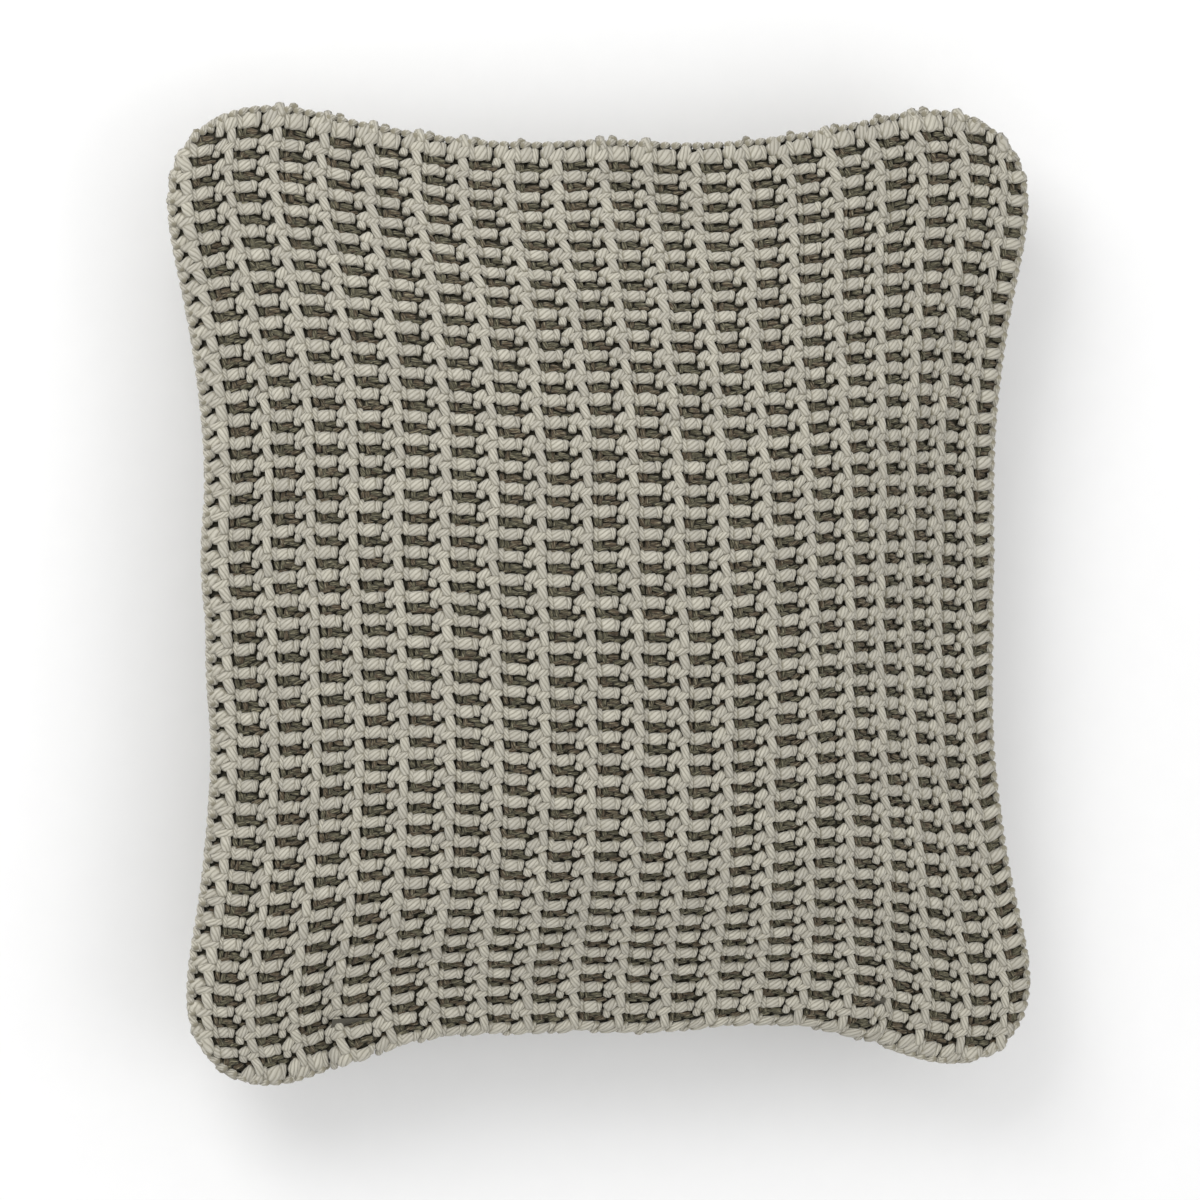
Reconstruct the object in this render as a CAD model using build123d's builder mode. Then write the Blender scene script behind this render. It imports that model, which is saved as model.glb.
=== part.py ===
"""Throw pillow: a knitted two-panel cover with a zip in its bottom edge, around a stuffed insert.

The pillow lies on its back panel. +X runs across it, +Y towards its top edge, +Z out of its front
panel, and the origin is under its centre on the surface it lies on. Sizes are in millimetres.
"""

from build123d import *
from math import atan2, cos, pi, sin
import os

# ---- Cover, stuffed ------------------------------------------------------------------------
COVER_WIDTH = 460.0  # across X, before the corners are rounded
COVER_LENGTH = 510.0  # along Y, before the corners are rounded
EDGE_PULL_IN = 21.0  # how far stuffing draws the middle of the top and side edges in
BOTTOM_PULL_IN = 33.0  # the same at the bottom edge, where the filling has settled
FRONT_RISE = 76.0  # seam plane up to the front panel's crown
BACK_DROP = 66.0  # seam plane down to the flat of the back panel
CROWN_SHIFT = 26.0  # the filling has settled this far towards the bottom edge
KNIT_THICKNESS = 6.0
SEAM_HEIGHT = 4.0  # yarn seam between the two panels
SEAM_WIDTH = 5.0

# ---- Zip in the bottom edge ----------------------------------------------------------------
ZIP_LENGTH = 254.0  # opening
ZIP_RECESS = 5.0  # middle of the bottom edge in to the chain's centre plane
ZIP_SLOT = 11.0  # height of the slot between the two panels' lips
TAPE_THICKNESS = 0.6
TAPE_WIDTH = 11.0  # height that each tape covers beside the chain
TAPE_LEAN = 7.0  # how far the tape's sewn edge leans in, along the panel
TAPE_TAIL = 4.0  # tape past each end of the slot
COIL_PITCH = 1.5
COIL_TOOTH = 0.8
COIL_DEPTH = 2.2
COIL_RAIL = 0.8
COIL_INNER = 0.5  # chain's centre line to the tips
COIL_OUTER = 2.7  # chain's centre line to the rail's back
STOP_LENGTH = 2.5
STOP_DEPTH = 2.6
STITCH_WIDTH = 1.0
STITCH_THICKNESS = 0.5
STITCH_EDGE = 1.5  # tape's sewn edge to its row of stitching

# ---- Slider and pull tab -------------------------------------------------------------------
SLIDER_LENGTH = 9.0
SLIDER_WIDTH = 8.4
SLIDER_PLATE = 1.2
SLIDER_RUN = 0.3  # clearance between the slider and the chain, each side
SLIDER_LIP = 0.8
SLIDER_POST = 0.6
SLIDER_POST_LENGTH = 2.0
BRIDGE_LENGTH = 6.4
BRIDGE_WIDTH = 1.6
BRIDGE_WALL = 1.0
PULL_LENGTH = 18.0
PULL_ROOM = 2.0  # tab's far end to the end of the slot
PULL_WIDTH = 5.2
PULL_THICKNESS = 1.2
PULL_WINDOW = 4.5  # bar's centre to the window's far end
PULL_WINDOW_WIDTH = 2.6
PULL_RUN = 0.3

# ---- Insert and labels ---------------------------------------------------------------------
INSERT_EDGE_ROOM = 19.0  # panel's inner face to the insert, at the seam
CASING_THICKNESS = 0.8
CASING_SEAM_HEIGHT = 2.0
CASING_SEAM_WIDTH = 3.0
CLOSING_SEAM = 150.0
LAYER_ROOM = 0.4  # between two soft layers that lie on each other
LABEL_WIDTH = 25.0
LABEL_THICKNESS = 0.4
LABEL_LIE = 0.4  # share of the room beside the insert that lies inside the label
CARE_LABEL_Y = -105.0
INSERT_LABEL_Y = 40.0

# ---- Crown: share of height, share of inset, squareness of the section, how eared it is ----
FRONT_LEVELS = [
    (0.00, 0.000, 12.0, 1.00),
    (0.12, 0.022, 9.0, 0.80),
    (0.26, 0.065, 6.0, 0.40),
    (0.40, 0.130, 4.3, 0.12),
    (0.57, 0.235, 3.3, 0.0),
    (0.80, 0.460, 2.6, 0.0),
    (0.94, 0.710, 2.2, 0.0),
    (1.00, 0.920, 2.0, 0.0),
]
BACK_LEVELS = [
    (0.00, 0.000, 12.0, 1.00),
    (0.13, 0.022, 9.0, 0.80),
    (0.29, 0.065, 6.0, 0.40),
    (0.46, 0.130, 4.3, 0.12),
    (0.66, 0.235, 3.4, 0.0),
    (0.88, 0.400, 3.0, 0.0),
    (1.00, 0.560, 2.8, 0.0),
]
OUTLINE_POINTS = 48
EAR_POWER_SIDE = 8  # how late along an edge the corner's ear begins
EAR_POWER_TOP = 6
EAR_POWER_BOTTOM = 14  # the zip holds this edge straighter

SEAM_PLANE = BACK_DROP
HALF_X = COVER_WIDTH / 2
HALF_Y = COVER_LENGTH / 2
CAVITY = 30.0  # depth that a cut reaches past the panels into the empty inside
ZIP_Y = -HALF_Y + BOTTOM_PULL_IN + ZIP_RECESS
CHAIN_END = ZIP_LENGTH / 2
SLIDER_X = CHAIN_END - SLIDER_RUN - SLIDER_LENGTH / 2  # closed, at the top stops
SLOT_END = SLIDER_X + PULL_LENGTH + PULL_ROOM  # the tab stays in the slot when the zip is open
TAPE_END = SLOT_END + TAPE_TAIL


# ---- Shapes that the soft layers share -----------------------------------------------------
def ear_power(across, along):
    """Power of the edge that a direction meets, given in half widths and half lengths."""
    if abs(across) > abs(along):
        return EAR_POWER_SIDE
    return EAR_POWER_TOP if along > 0 else EAR_POWER_BOTTOM


def outline(inset, level, shift):
    """Points of one level section of the pillow, `inset` inside the cover's outside."""
    _, share, squareness, ear = level
    half_x = HALF_X - inset
    half_y = HALF_Y - inset
    points = []
    for i in range(OUTLINE_POINTS):
        turn = 2 * pi * i / OUTLINE_POINTS
        across = cos(turn) / half_x
        along = sin(turn) / half_y
        reach = (abs(across) ** squareness + abs(along) ** squareness) ** (-1 / squareness)
        corner = abs(sin(2 * atan2(along, across))) ** ear_power(across, along)
        end_pull = EDGE_PULL_IN if along > 0 else BOTTOM_PULL_IN
        x = reach * cos(turn) * (1 - EDGE_PULL_IN * (1 - ear * corner) / half_x) * (1 - share)
        y = reach * sin(turn) * (1 - end_pull * (1 - ear * corner) / half_y) * (1 - share)
        points.append((x, y - shift * share))
    return points


def section(z, inset, level, shift):
    """One level section as a face."""
    with BuildSketch(Plane.XY.offset(z)) as face:
        with BuildLine():
            Spline(*outline(inset, level, shift), periodic=True)
        make_face()
    return face.sketch


def front_sections(inset, depth, start):
    """Sections of a front layer: `inset` in at the seam, `depth` below the crown."""
    rise = FRONT_RISE - depth - start
    z = SEAM_PLANE + start
    return [section(z + rise * level[0], inset, level, CROWN_SHIFT) for level in FRONT_LEVELS]


def back_sections(inset, depth, start):
    """Sections of a back layer: `inset` in at the seam, `depth` above the back's flat."""
    drop = BACK_DROP - depth - start
    z = SEAM_PLANE - start
    return [section(z - drop * level[0], inset, level, 0.0) for level in BACK_LEVELS]


def seam_ring(inset, width):
    """Face of a flat seam that follows the pillow's outline."""
    with BuildSketch() as ring:
        add(section(0, inset, FRONT_LEVELS[0], 0.0))
        add(section(0, inset + width, FRONT_LEVELS[0], 0.0), mode=Mode.SUBTRACT)
    return ring.sketch


def seam_run(ring, height, x_span, y_span):
    """The stretch of a seam ring inside one box, as a solid about the seam plane."""
    with BuildPart() as run:
        with BuildSketch(Plane.XY.offset(SEAM_PLANE - height / 2)):
            add(ring)
        extrude(amount=height)
        with BuildSketch(Plane.XY.offset(SEAM_PLANE - height)):
            with Locations(((x_span[0] + x_span[1]) / 2, (y_span[0] + y_span[1]) / 2)):
                Rectangle(x_span[1] - x_span[0], y_span[1] - y_span[0])
        extrude(amount=2 * height, mode=Mode.INTERSECT)
    return run.part


def save(solid, name):
    """Label a finished piece and write it as its own file."""
    solid.label = name
    export_step(solid, f"parts/{name}.step")


os.makedirs("parts", exist_ok=True)

# ---- Cover panels --------------------------------------------------------------------------
# Across the zip, seen along X: y runs in from the bottom edge and z up from the seam plane.
TAPE_FLAT = ZIP_SLOT / 2 + LAYER_ROOM  # height at which the tape starts to lean in
TAPE_TOP = COIL_OUTER + TAPE_WIDTH
POCKET_FACE = ZIP_Y - TAPE_THICKNESS / 2 - LAYER_ROOM
POCKET = [
    (POCKET_FACE, 0.0),
    (POCKET_FACE, TAPE_FLAT),
    (POCKET_FACE + TAPE_LEAN, TAPE_TOP + LAYER_ROOM),
    (POCKET_FACE + CAVITY, TAPE_TOP + LAYER_ROOM),
    (POCKET_FACE + CAVITY, 0.0),
]


def zip_pocket(side):
    """Slot and tape pocket that one panel (side 1 front, -1 back) leaves for the zip."""
    with BuildPart() as pocket:
        with BuildSketch(Plane.YZ):
            with BuildLine():
                Polyline(*[(y, SEAM_PLANE + side * z) for y, z in POCKET], close=True)
            make_face()
        extrude(amount=TAPE_END + LAYER_ROOM, both=True)
        with BuildSketch(Plane.YZ):
            with Locations((ZIP_Y, SEAM_PLANE)):
                Rectangle(2 * CAVITY, ZIP_SLOT)
        extrude(amount=SLOT_END, both=True)
    return pocket.part


with BuildPart() as cover_front_panel:
    loft(front_sections(0.0, 0.0, SEAM_HEIGHT / 2))
    loft(front_sections(KNIT_THICKNESS, KNIT_THICKNESS, SEAM_HEIGHT / 2), mode=Mode.SUBTRACT)
    add(zip_pocket(1), mode=Mode.SUBTRACT)
save(cover_front_panel.part, "cover_front_panel")

with BuildPart() as cover_back_panel:
    loft(back_sections(0.0, 0.0, SEAM_HEIGHT / 2))
    loft(back_sections(KNIT_THICKNESS, KNIT_THICKNESS, SEAM_HEIGHT / 2), mode=Mode.SUBTRACT)
    add(zip_pocket(-1), mode=Mode.SUBTRACT)
save(cover_back_panel.part, "cover_back_panel")

# ---- Cover seams, one run for each edge ----------------------------------------------------
cover_seam = seam_ring(0.0, SEAM_WIDTH)
SIDE_X = HALF_X - 2 * EDGE_PULL_IN  # corners belong to the top and bottom runs
END_Y = HALF_Y - 2 * EDGE_PULL_IN
WHOLE_X = (-HALF_X, HALF_X)
SEAM_RUNS = {
    "seam_top": (WHOLE_X, (END_Y, HALF_Y)),
    "seam_left": ((-HALF_X, -SIDE_X), (-END_Y, END_Y)),
    "seam_right": ((SIDE_X, HALF_X), (-END_Y, END_Y)),
    "seam_bottom_left": ((-HALF_X, -TAPE_END - LAYER_ROOM), (-HALF_Y, -END_Y)),
    "seam_bottom_right": ((TAPE_END + LAYER_ROOM, HALF_X), (-HALF_Y, -END_Y)),
}
for run_name, (run_x, run_y) in SEAM_RUNS.items():
    save(seam_run(cover_seam, SEAM_HEIGHT, run_x, run_y), run_name)


# ---- Zip tapes, coils, stops and the rows that sew the tapes in ------------------------------
def tape(side):
    """One woven tape: flat beside the chain, then leaning in along its panel."""
    near = ZIP_Y - TAPE_THICKNESS / 2
    far = ZIP_Y + TAPE_THICKNESS / 2
    profile = [
        (near, COIL_OUTER),
        (near, TAPE_FLAT),
        (near + TAPE_LEAN, TAPE_TOP),
        (far + TAPE_LEAN, TAPE_TOP),
        (far, TAPE_FLAT),
        (far, COIL_OUTER),
    ]
    with BuildPart() as woven:
        with BuildSketch(Plane.YZ):
            with BuildLine():
                Polyline(*[(y, SEAM_PLANE + side * z) for y, z in profile], close=True)
            make_face()
        extrude(amount=TAPE_END, both=True)
    return woven.part


def tape_stitching(side):
    """Row of thread along the tape's sewn edge, on its inner face."""
    slope = TAPE_LEAN / (TAPE_TOP - TAPE_FLAT)
    high = TAPE_TOP - STITCH_EDGE
    low = high - STITCH_WIDTH
    face = ZIP_Y + TAPE_THICKNESS / 2
    y_high = face + slope * (high - TAPE_FLAT)
    y_low = face + slope * (low - TAPE_FLAT)
    profile = [
        (y_low, low),
        (y_high, high),
        (y_high + STITCH_THICKNESS, high),
        (y_low + STITCH_THICKNESS, low),
    ]
    with BuildPart() as row:
        with BuildSketch(Plane.YZ):
            with BuildLine():
                Polyline(*[(y, SEAM_PLANE + side * z) for y, z in profile], close=True)
            make_face()
        extrude(amount=SLOT_END, both=True)
    return row.part


def coil(side):
    """One half of the chain: a rail on the tape's edge with a tooth every pitch."""
    teeth = int(ZIP_LENGTH / COIL_PITCH)
    offset = side * COIL_PITCH / 4
    reach = COIL_OUTER - COIL_RAIL - COIL_INNER
    with BuildPart() as comb:
        with BuildSketch(Plane.XZ.offset(-ZIP_Y + COIL_DEPTH / 2)) as comb_face:
            with Locations((0, SEAM_PLANE + side * (COIL_OUTER - COIL_RAIL / 2))):
                Rectangle(ZIP_LENGTH, COIL_RAIL)
            with Locations((offset, SEAM_PLANE + side * (COIL_INNER + reach / 2))):
                with GridLocations(COIL_PITCH, 1, teeth - 1, 1):
                    Rectangle(COIL_TOOTH, reach)
        extrude(amount=-COIL_DEPTH)
    return comb.part


for side_name, side in (("front", 1), ("back", -1)):
    save(tape(side), f"zip_tape_{side_name}")
    save(tape_stitching(side), f"zip_stitching_{side_name}")
    save(coil(side), f"zip_coil_{side_name}")


def stop_block(x, z, height):
    """One crimped stop across the chain."""
    with BuildSketch(Plane.XZ.offset(-ZIP_Y + STOP_DEPTH / 2)) as block:
        with Locations((x, SEAM_PLANE + z)):
            Rectangle(STOP_LENGTH, height)
    return block.sketch


STOP_X = CHAIN_END + STOP_LENGTH / 2
with BuildPart() as zip_top_stops:
    for side in (1, -1):
        extrude(stop_block(STOP_X, side * (COIL_INNER + COIL_OUTER) / 2, COIL_OUTER - COIL_INNER),
                amount=-STOP_DEPTH)
save(zip_top_stops.part, "zip_top_stops")

with BuildPart() as zip_bottom_stop:
    extrude(stop_block(-STOP_X, 0.0, 2 * COIL_OUTER), amount=-STOP_DEPTH)
save(zip_bottom_stop.part, "zip_bottom_stop")

# ---- Slider, closed against the top stops ----------------------------------------------------
# Its depth runs along Y: `OUT` is the outer plate's face, towards -Y.
THROAT = COIL_DEPTH / 2 + SLIDER_RUN
OUT = ZIP_Y - THROAT - SLIDER_PLATE
LIP_FACE = TAPE_THICKNESS / 2 + SLIDER_RUN
BAR_Y = OUT - PULL_RUN - PULL_THICKNESS / 2
BRIDGE_TOP = BAR_Y - PULL_THICKNESS / 2 - PULL_RUN - BRIDGE_WALL

with BuildPart() as zip_slider:
    with BuildSketch(Plane.YZ.offset(SLIDER_X)):
        for side in (1, -1):
            with Locations((ZIP_Y + side * (THROAT + SLIDER_PLATE / 2), SEAM_PLANE)):
                Rectangle(SLIDER_PLATE, SLIDER_WIDTH)
            lip_y = ZIP_Y + side * (LIP_FACE + THROAT) / 2
            lip_z = (SLIDER_WIDTH - SLIDER_LIP) / 2
            with Locations((lip_y, SEAM_PLANE - lip_z), (lip_y, SEAM_PLANE + lip_z)):
                Rectangle(THROAT - LIP_FACE, SLIDER_LIP)
    extrude(amount=SLIDER_LENGTH / 2, both=True)
    with BuildSketch(Plane.XZ.offset(-ZIP_Y - THROAT)):
        with Locations((SLIDER_X + (SLIDER_LENGTH - SLIDER_POST_LENGTH) / 2, SEAM_PLANE)):
            Rectangle(SLIDER_POST_LENGTH, SLIDER_POST)
    extrude(amount=2 * THROAT)
    with BuildSketch(Plane.XY.offset(SEAM_PLANE)):
        with Locations((SLIDER_X, (OUT + BRIDGE_TOP) / 2)):
            Rectangle(BRIDGE_LENGTH, OUT - BRIDGE_TOP)
        with Locations((SLIDER_X, (OUT + BRIDGE_TOP + BRIDGE_WALL) / 2)):
            Rectangle(BRIDGE_LENGTH - 2 * BRIDGE_WALL, OUT - BRIDGE_TOP - BRIDGE_WALL, mode=Mode.SUBTRACT)
    extrude(amount=BRIDGE_WIDTH / 2, both=True)
save(zip_slider.part, "zip_slider")

# ---- Pull tab, lying back along the closed chain; its bar turns under the bridge -------------
with BuildPart() as zip_pull_tab:
    with BuildSketch(Plane.XZ.offset(-BAR_Y - PULL_THICKNESS / 2)):
        with Locations((SLIDER_X - PULL_LENGTH / 2, SEAM_PLANE)):
            tab = Rectangle(PULL_LENGTH, PULL_WIDTH)
        fillet(tab.vertices().group_by(Axis.X)[0], PULL_WIDTH / 3)
        with Locations((SLIDER_X - PULL_WINDOW / 2, SEAM_PLANE)):
            Rectangle(PULL_WINDOW, PULL_WINDOW_WIDTH, mode=Mode.SUBTRACT)
    extrude(amount=PULL_THICKNESS)
    with BuildSketch(Plane.XY.offset(SEAM_PLANE)):
        with Locations((SLIDER_X, BAR_Y)):
            Circle(PULL_THICKNESS / 2)
    extrude(amount=PULL_WIDTH / 2, both=True)
save(zip_pull_tab.part, "zip_pull_tab")

# ---- Insert: casing halves, their seam, and the filling --------------------------------------
INSERT_INSET = KNIT_THICKNESS + INSERT_EDGE_ROOM
INSERT_DEPTH = KNIT_THICKNESS + LAYER_ROOM
CASING_START = CASING_SEAM_HEIGHT / 2

with BuildPart() as insert_casing_front:
    loft(front_sections(INSERT_INSET, INSERT_DEPTH, CASING_START))
    loft(
        front_sections(INSERT_INSET + CASING_THICKNESS, INSERT_DEPTH + CASING_THICKNESS, CASING_START),
        mode=Mode.SUBTRACT,
    )
save(insert_casing_front.part, "insert_casing_front")

with BuildPart() as insert_casing_back:
    loft(back_sections(INSERT_INSET, INSERT_DEPTH, CASING_START))
    loft(
        back_sections(INSERT_INSET + CASING_THICKNESS, INSERT_DEPTH + CASING_THICKNESS, CASING_START),
        mode=Mode.SUBTRACT,
    )
save(insert_casing_back.part, "insert_casing_back")

casing_seam = seam_ring(INSERT_INSET, CASING_SEAM_WIDTH)
closing_x = (-CLOSING_SEAM / 2, CLOSING_SEAM / 2)
closing = seam_run(casing_seam, CASING_SEAM_HEIGHT, closing_x, (-HALF_Y, 0.0))
with BuildPart() as insert_seam:
    with BuildSketch(Plane.XY.offset(SEAM_PLANE - CASING_SEAM_HEIGHT / 2)):
        add(casing_seam)
    extrude(amount=CASING_SEAM_HEIGHT)
    add(closing, mode=Mode.SUBTRACT)
save(insert_seam.part, "insert_seam")
save(closing, "insert_closing_seam")

FILL_INSET = INSERT_INSET + CASING_SEAM_WIDTH + LAYER_ROOM
FILL_DEPTH = INSERT_DEPTH + CASING_THICKNESS + LAYER_ROOM
with BuildPart() as fibre_fill:
    loft(front_sections(FILL_INSET, FILL_DEPTH, 0.0))
    loft(back_sections(FILL_INSET, FILL_DEPTH, 0.0))
save(fibre_fill.part, "fibre_fill")


# ---- Labels, sewn in at a side seam and lying between the panel and the insert ----------------
def label_line():
    """Line of a label from the cover's seam down between panel and insert: across, drop."""
    line = [(HALF_X - EDGE_PULL_IN - SEAM_WIDTH - LABEL_THICKNESS, 0.0)]
    for level in BACK_LEVELS[1:4]:
        panel_x = (HALF_X - KNIT_THICKNESS - EDGE_PULL_IN) * (1 - level[1])
        insert_x = (HALF_X - INSERT_INSET - EDGE_PULL_IN) * (1 - level[1])
        drop = SEAM_HEIGHT / 2 + (BACK_DROP - INSERT_DEPTH) * level[0]
        line.append((insert_x + LABEL_LIE * (panel_x - insert_x), drop))
    return line


def label(side, y):
    """Blank woven label on the left (side -1) or right (side 1) seam."""
    line = label_line()
    points = [(side * x, SEAM_PLANE - drop) for x, drop in line]
    back = [(side * (x - LABEL_THICKNESS), SEAM_PLANE - drop) for x, drop in reversed(line)]
    with BuildPart() as tag:
        with BuildSketch(Plane.XZ.offset(-y)):
            with BuildLine():
                Polyline(*points, *back, close=True)
            make_face()
        extrude(amount=LABEL_WIDTH / 2, both=True)
    return tag.part


save(label(-1, CARE_LABEL_Y), "care_label")
save(label(1, INSERT_LABEL_Y), "insert_label")
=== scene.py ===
"""Looks of a hand-knitted throw pillow: stuffed form, knitted cover, zip, insert, labels and stage."""

import math

import bmesh
import bpy
import numpy as np
from mathutils import Matrix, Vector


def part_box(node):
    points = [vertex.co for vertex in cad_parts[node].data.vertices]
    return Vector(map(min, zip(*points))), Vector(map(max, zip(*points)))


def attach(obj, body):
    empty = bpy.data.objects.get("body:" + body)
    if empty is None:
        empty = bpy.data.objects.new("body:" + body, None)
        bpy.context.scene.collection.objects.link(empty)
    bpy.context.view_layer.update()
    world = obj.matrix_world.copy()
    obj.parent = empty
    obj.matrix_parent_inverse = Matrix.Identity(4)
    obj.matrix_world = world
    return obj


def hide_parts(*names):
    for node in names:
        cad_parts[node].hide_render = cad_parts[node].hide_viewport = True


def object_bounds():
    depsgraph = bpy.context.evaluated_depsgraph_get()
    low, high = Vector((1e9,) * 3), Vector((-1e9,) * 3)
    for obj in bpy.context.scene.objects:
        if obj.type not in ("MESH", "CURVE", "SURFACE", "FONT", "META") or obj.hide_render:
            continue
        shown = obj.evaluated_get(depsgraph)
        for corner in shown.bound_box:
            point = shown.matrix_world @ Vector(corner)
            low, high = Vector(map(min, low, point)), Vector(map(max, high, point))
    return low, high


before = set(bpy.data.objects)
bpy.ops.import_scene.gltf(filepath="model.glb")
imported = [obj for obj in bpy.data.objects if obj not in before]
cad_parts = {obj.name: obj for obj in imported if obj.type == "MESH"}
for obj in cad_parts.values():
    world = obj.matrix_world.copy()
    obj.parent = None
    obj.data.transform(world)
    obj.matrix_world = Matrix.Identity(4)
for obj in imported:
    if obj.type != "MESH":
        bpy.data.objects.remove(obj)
CAD_LOW, CAD_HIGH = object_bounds()

bl_info = {
    "name": "Knitted Throw Pillow",
    "version": (1, 0, 0),
    "blender": (4, 5, 0),
    "location": "3D View > Sidebar > Pillow",
    "description": "Builds a stuffed pillow with a two-colour slip-stitch knitted cover",
    "category": "Add Mesh",
}

MM = 0.001
BODY = "pillow"
FLAT_UV = "flat_uv"  # where a point lies on the uncut, flat panel, 0 to 1
OUTWARD = "outward"  # unit vector out of the stuffed form
YARN_UV = "yarn_uv"  # around and along a strand of yarn
TONE = "tone"  # one random value for each strand

PANEL_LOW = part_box("cover_front_panel")[0]
SEAM_Z = (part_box("cover_back_panel")[1].z + PANEL_LOW.z) / 2
SLIDER_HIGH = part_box("zip_slider")[1]
COIL_LOW, COIL_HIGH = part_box("zip_coil_front")
TAPE_LOW, TAPE_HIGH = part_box("zip_tape_front")


# ---- Settings --------------------------------------------------------------------------------
class PillowForm(bpy.types.PropertyGroup):
    """Cut size of the panels and how the filling stretches them."""

    flat_width: bpy.props.FloatProperty(
        name="Panel width", description="Knitted width before stuffing", default=0.457,
        unit="LENGTH")
    flat_length: bpy.props.FloatProperty(
        name="Panel length", description="Knitted length before stuffing", default=0.508,
        unit="LENGTH")
    pressure: bpy.props.FloatProperty(
        name="Pressure", description="Push of the filling on the panels", default=3.5, min=0.0)
    steps: bpy.props.IntProperty(
        name="Settling steps", description="Frames the cloth is given to settle", default=36, min=2)
    easing: bpy.props.IntProperty(
        name="Easing", description="How far the knit's stretch evens out creases", default=24,
        min=0)
    slimness: bpy.props.FloatProperty(
        name="Slimness", description="How much the filling thins out to the edges", default=1.5,
        min=0.5)
    straightness: bpy.props.FloatProperty(
        name="Straightness", description="How closely rows keep the line of the edges",
        default=0.85, min=0.0, max=1.0)
    yarn_depth: bpy.props.FloatProperty(
        name="Yarn depth", description="Ground of the knit to the tops of its stitches",
        default=0.0048, unit="LENGTH")
    crown_shift: bpy.props.FloatProperty(
        name="Crown shift", description="How far the filling has settled to the bottom edge",
        default=0.022, unit="LENGTH")
    corner_radius: bpy.props.FloatProperty(
        name="Corner radius", description="Rounding of a flat panel's corners", default=0.040,
        unit="LENGTH")
    corner_lean: bpy.props.FloatProperty(
        name="Corner lean", description="How far the lower left corner is sewn in",
        default=0.010, unit="LENGTH")
    fold_depth: bpy.props.FloatProperty(
        name="Fold depth", description="Depth of the soft folds near the corners",
        default=0.0045, unit="LENGTH")


class PillowKnit(bpy.types.PropertyGroup):
    """Gauge and evenness of the slip-stitch knit."""

    columns: bpy.props.IntProperty(
        name="Columns", description="Slip-stitch columns across a panel", default=19, min=2)
    rows: bpy.props.IntProperty(
        name="Rows", description="Pairs of light and dark rows along a panel", default=43, min=2)
    slack: bpy.props.FloatProperty(
        name="Slack", description="How far a stitch may lie from its place", default=0.00035,
        unit="LENGTH")
    turn: bpy.props.FloatProperty(
        name="Turn", description="How far a stitch may turn from its lie",
        default=math.radians(6.0), subtype="ANGLE")
    drift: bpy.props.FloatProperty(
        name="Drift", description="Slow wander of rows and columns", default=0.0012,
        unit="LENGTH")
    seed: bpy.props.IntProperty(name="Seed", description="Seed of every random draw", default=7)


class PillowColours(bpy.types.PropertyGroup):
    """Yarn and trim colours."""

    light: bpy.props.FloatVectorProperty(
        name="Light yarn", description="Ecru plied yarn", subtype="COLOR", size=3,
        default=(0.560, 0.535, 0.455))
    dark: bpy.props.FloatVectorProperty(
        name="Dark yarn", description="Olive marl yarn", subtype="COLOR", size=3,
        default=(0.128, 0.118, 0.076))
    brown: bpy.props.FloatVectorProperty(
        name="Brown fibre", description="Brown in the marl yarn", subtype="COLOR", size=3,
        default=(0.135, 0.098, 0.064))
    tan: bpy.props.FloatVectorProperty(
        name="Tan fibre", description="Light fibre in the marl yarn", subtype="COLOR", size=3,
        default=(0.40, 0.365, 0.25))
    casing: bpy.props.FloatVectorProperty(
        name="Insert casing", description="Cotton casing of the insert", subtype="COLOR", size=3,
        default=(0.80, 0.79, 0.76))
    tape: bpy.props.FloatVectorProperty(
        name="Zip tape", description="Woven tape of the zip", subtype="COLOR", size=3,
        default=(0.10, 0.09, 0.065))


class PillowStage(bpy.types.PropertyGroup):
    """Floor, lights and camera."""

    distance: bpy.props.FloatProperty(
        name="Camera distance", description="Camera to the middle of the pillow", default=2.6,
        unit="LENGTH")
    across: bpy.props.FloatProperty(
        name="Picture width", description="Width that the picture takes in", default=0.612,
        unit="LENGTH")
    from_left: bpy.props.FloatProperty(
        name="From the left", description="Camera's lean to the left of straight above",
        default=math.radians(14.0), subtype="ANGLE")
    from_top: bpy.props.FloatProperty(
        name="From the top edge", description="Camera's lean to the top edge",
        default=math.radians(4.0), subtype="ANGLE")
    key: bpy.props.FloatProperty(
        name="Key light", description="Power of the large light, in watts", default=22.0)
    sky: bpy.props.FloatProperty(
        name="Surround", description="Strength of the even surround", default=0.80)


SETTINGS = {
    "pillow_form": PillowForm,
    "pillow_knit": PillowKnit,
    "pillow_colours": PillowColours,
    "pillow_stage": PillowStage,
}


# ---- Node helpers ----------------------------------------------------------------------------
def add_node(tree, kind, inputs=None, **settings):
    """A node of `kind`, its settings and its unlinked or linked inputs by name or number."""
    made = tree.nodes.new(kind)
    for key, value in settings.items():
        setattr(made, key, value)
    for key, value in (inputs or {}).items():
        socket = made.inputs[key]
        if isinstance(value, bpy.types.NodeSocket):
            tree.links.new(value, socket)
        else:
            socket.default_value = value
    return made


def maths(tree, operation, a, b=0.0):
    """Result of a two-value sum."""
    return add_node(tree, "ShaderNodeMath", {0: a, 1: b}, operation=operation).outputs[0]


def vector_maths(tree, operation, a, b=(0.0, 0.0, 0.0)):
    """Result of a two-vector sum."""
    inputs = {0: a} if operation in ("NORMALIZE", "ABSOLUTE", "SIGN") else {0: a, 1: b}
    return add_node(tree, "ShaderNodeVectorMath", inputs, operation=operation).outputs[0]


def scaled(tree, vector, factor):
    """A vector times a number."""
    made = add_node(tree, "ShaderNodeVectorMath", {0: vector}, operation="SCALE")
    if isinstance(factor, bpy.types.NodeSocket):
        tree.links.new(factor, made.inputs["Scale"])
    else:
        made.inputs["Scale"].default_value = factor
    return made.outputs[0]


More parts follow.
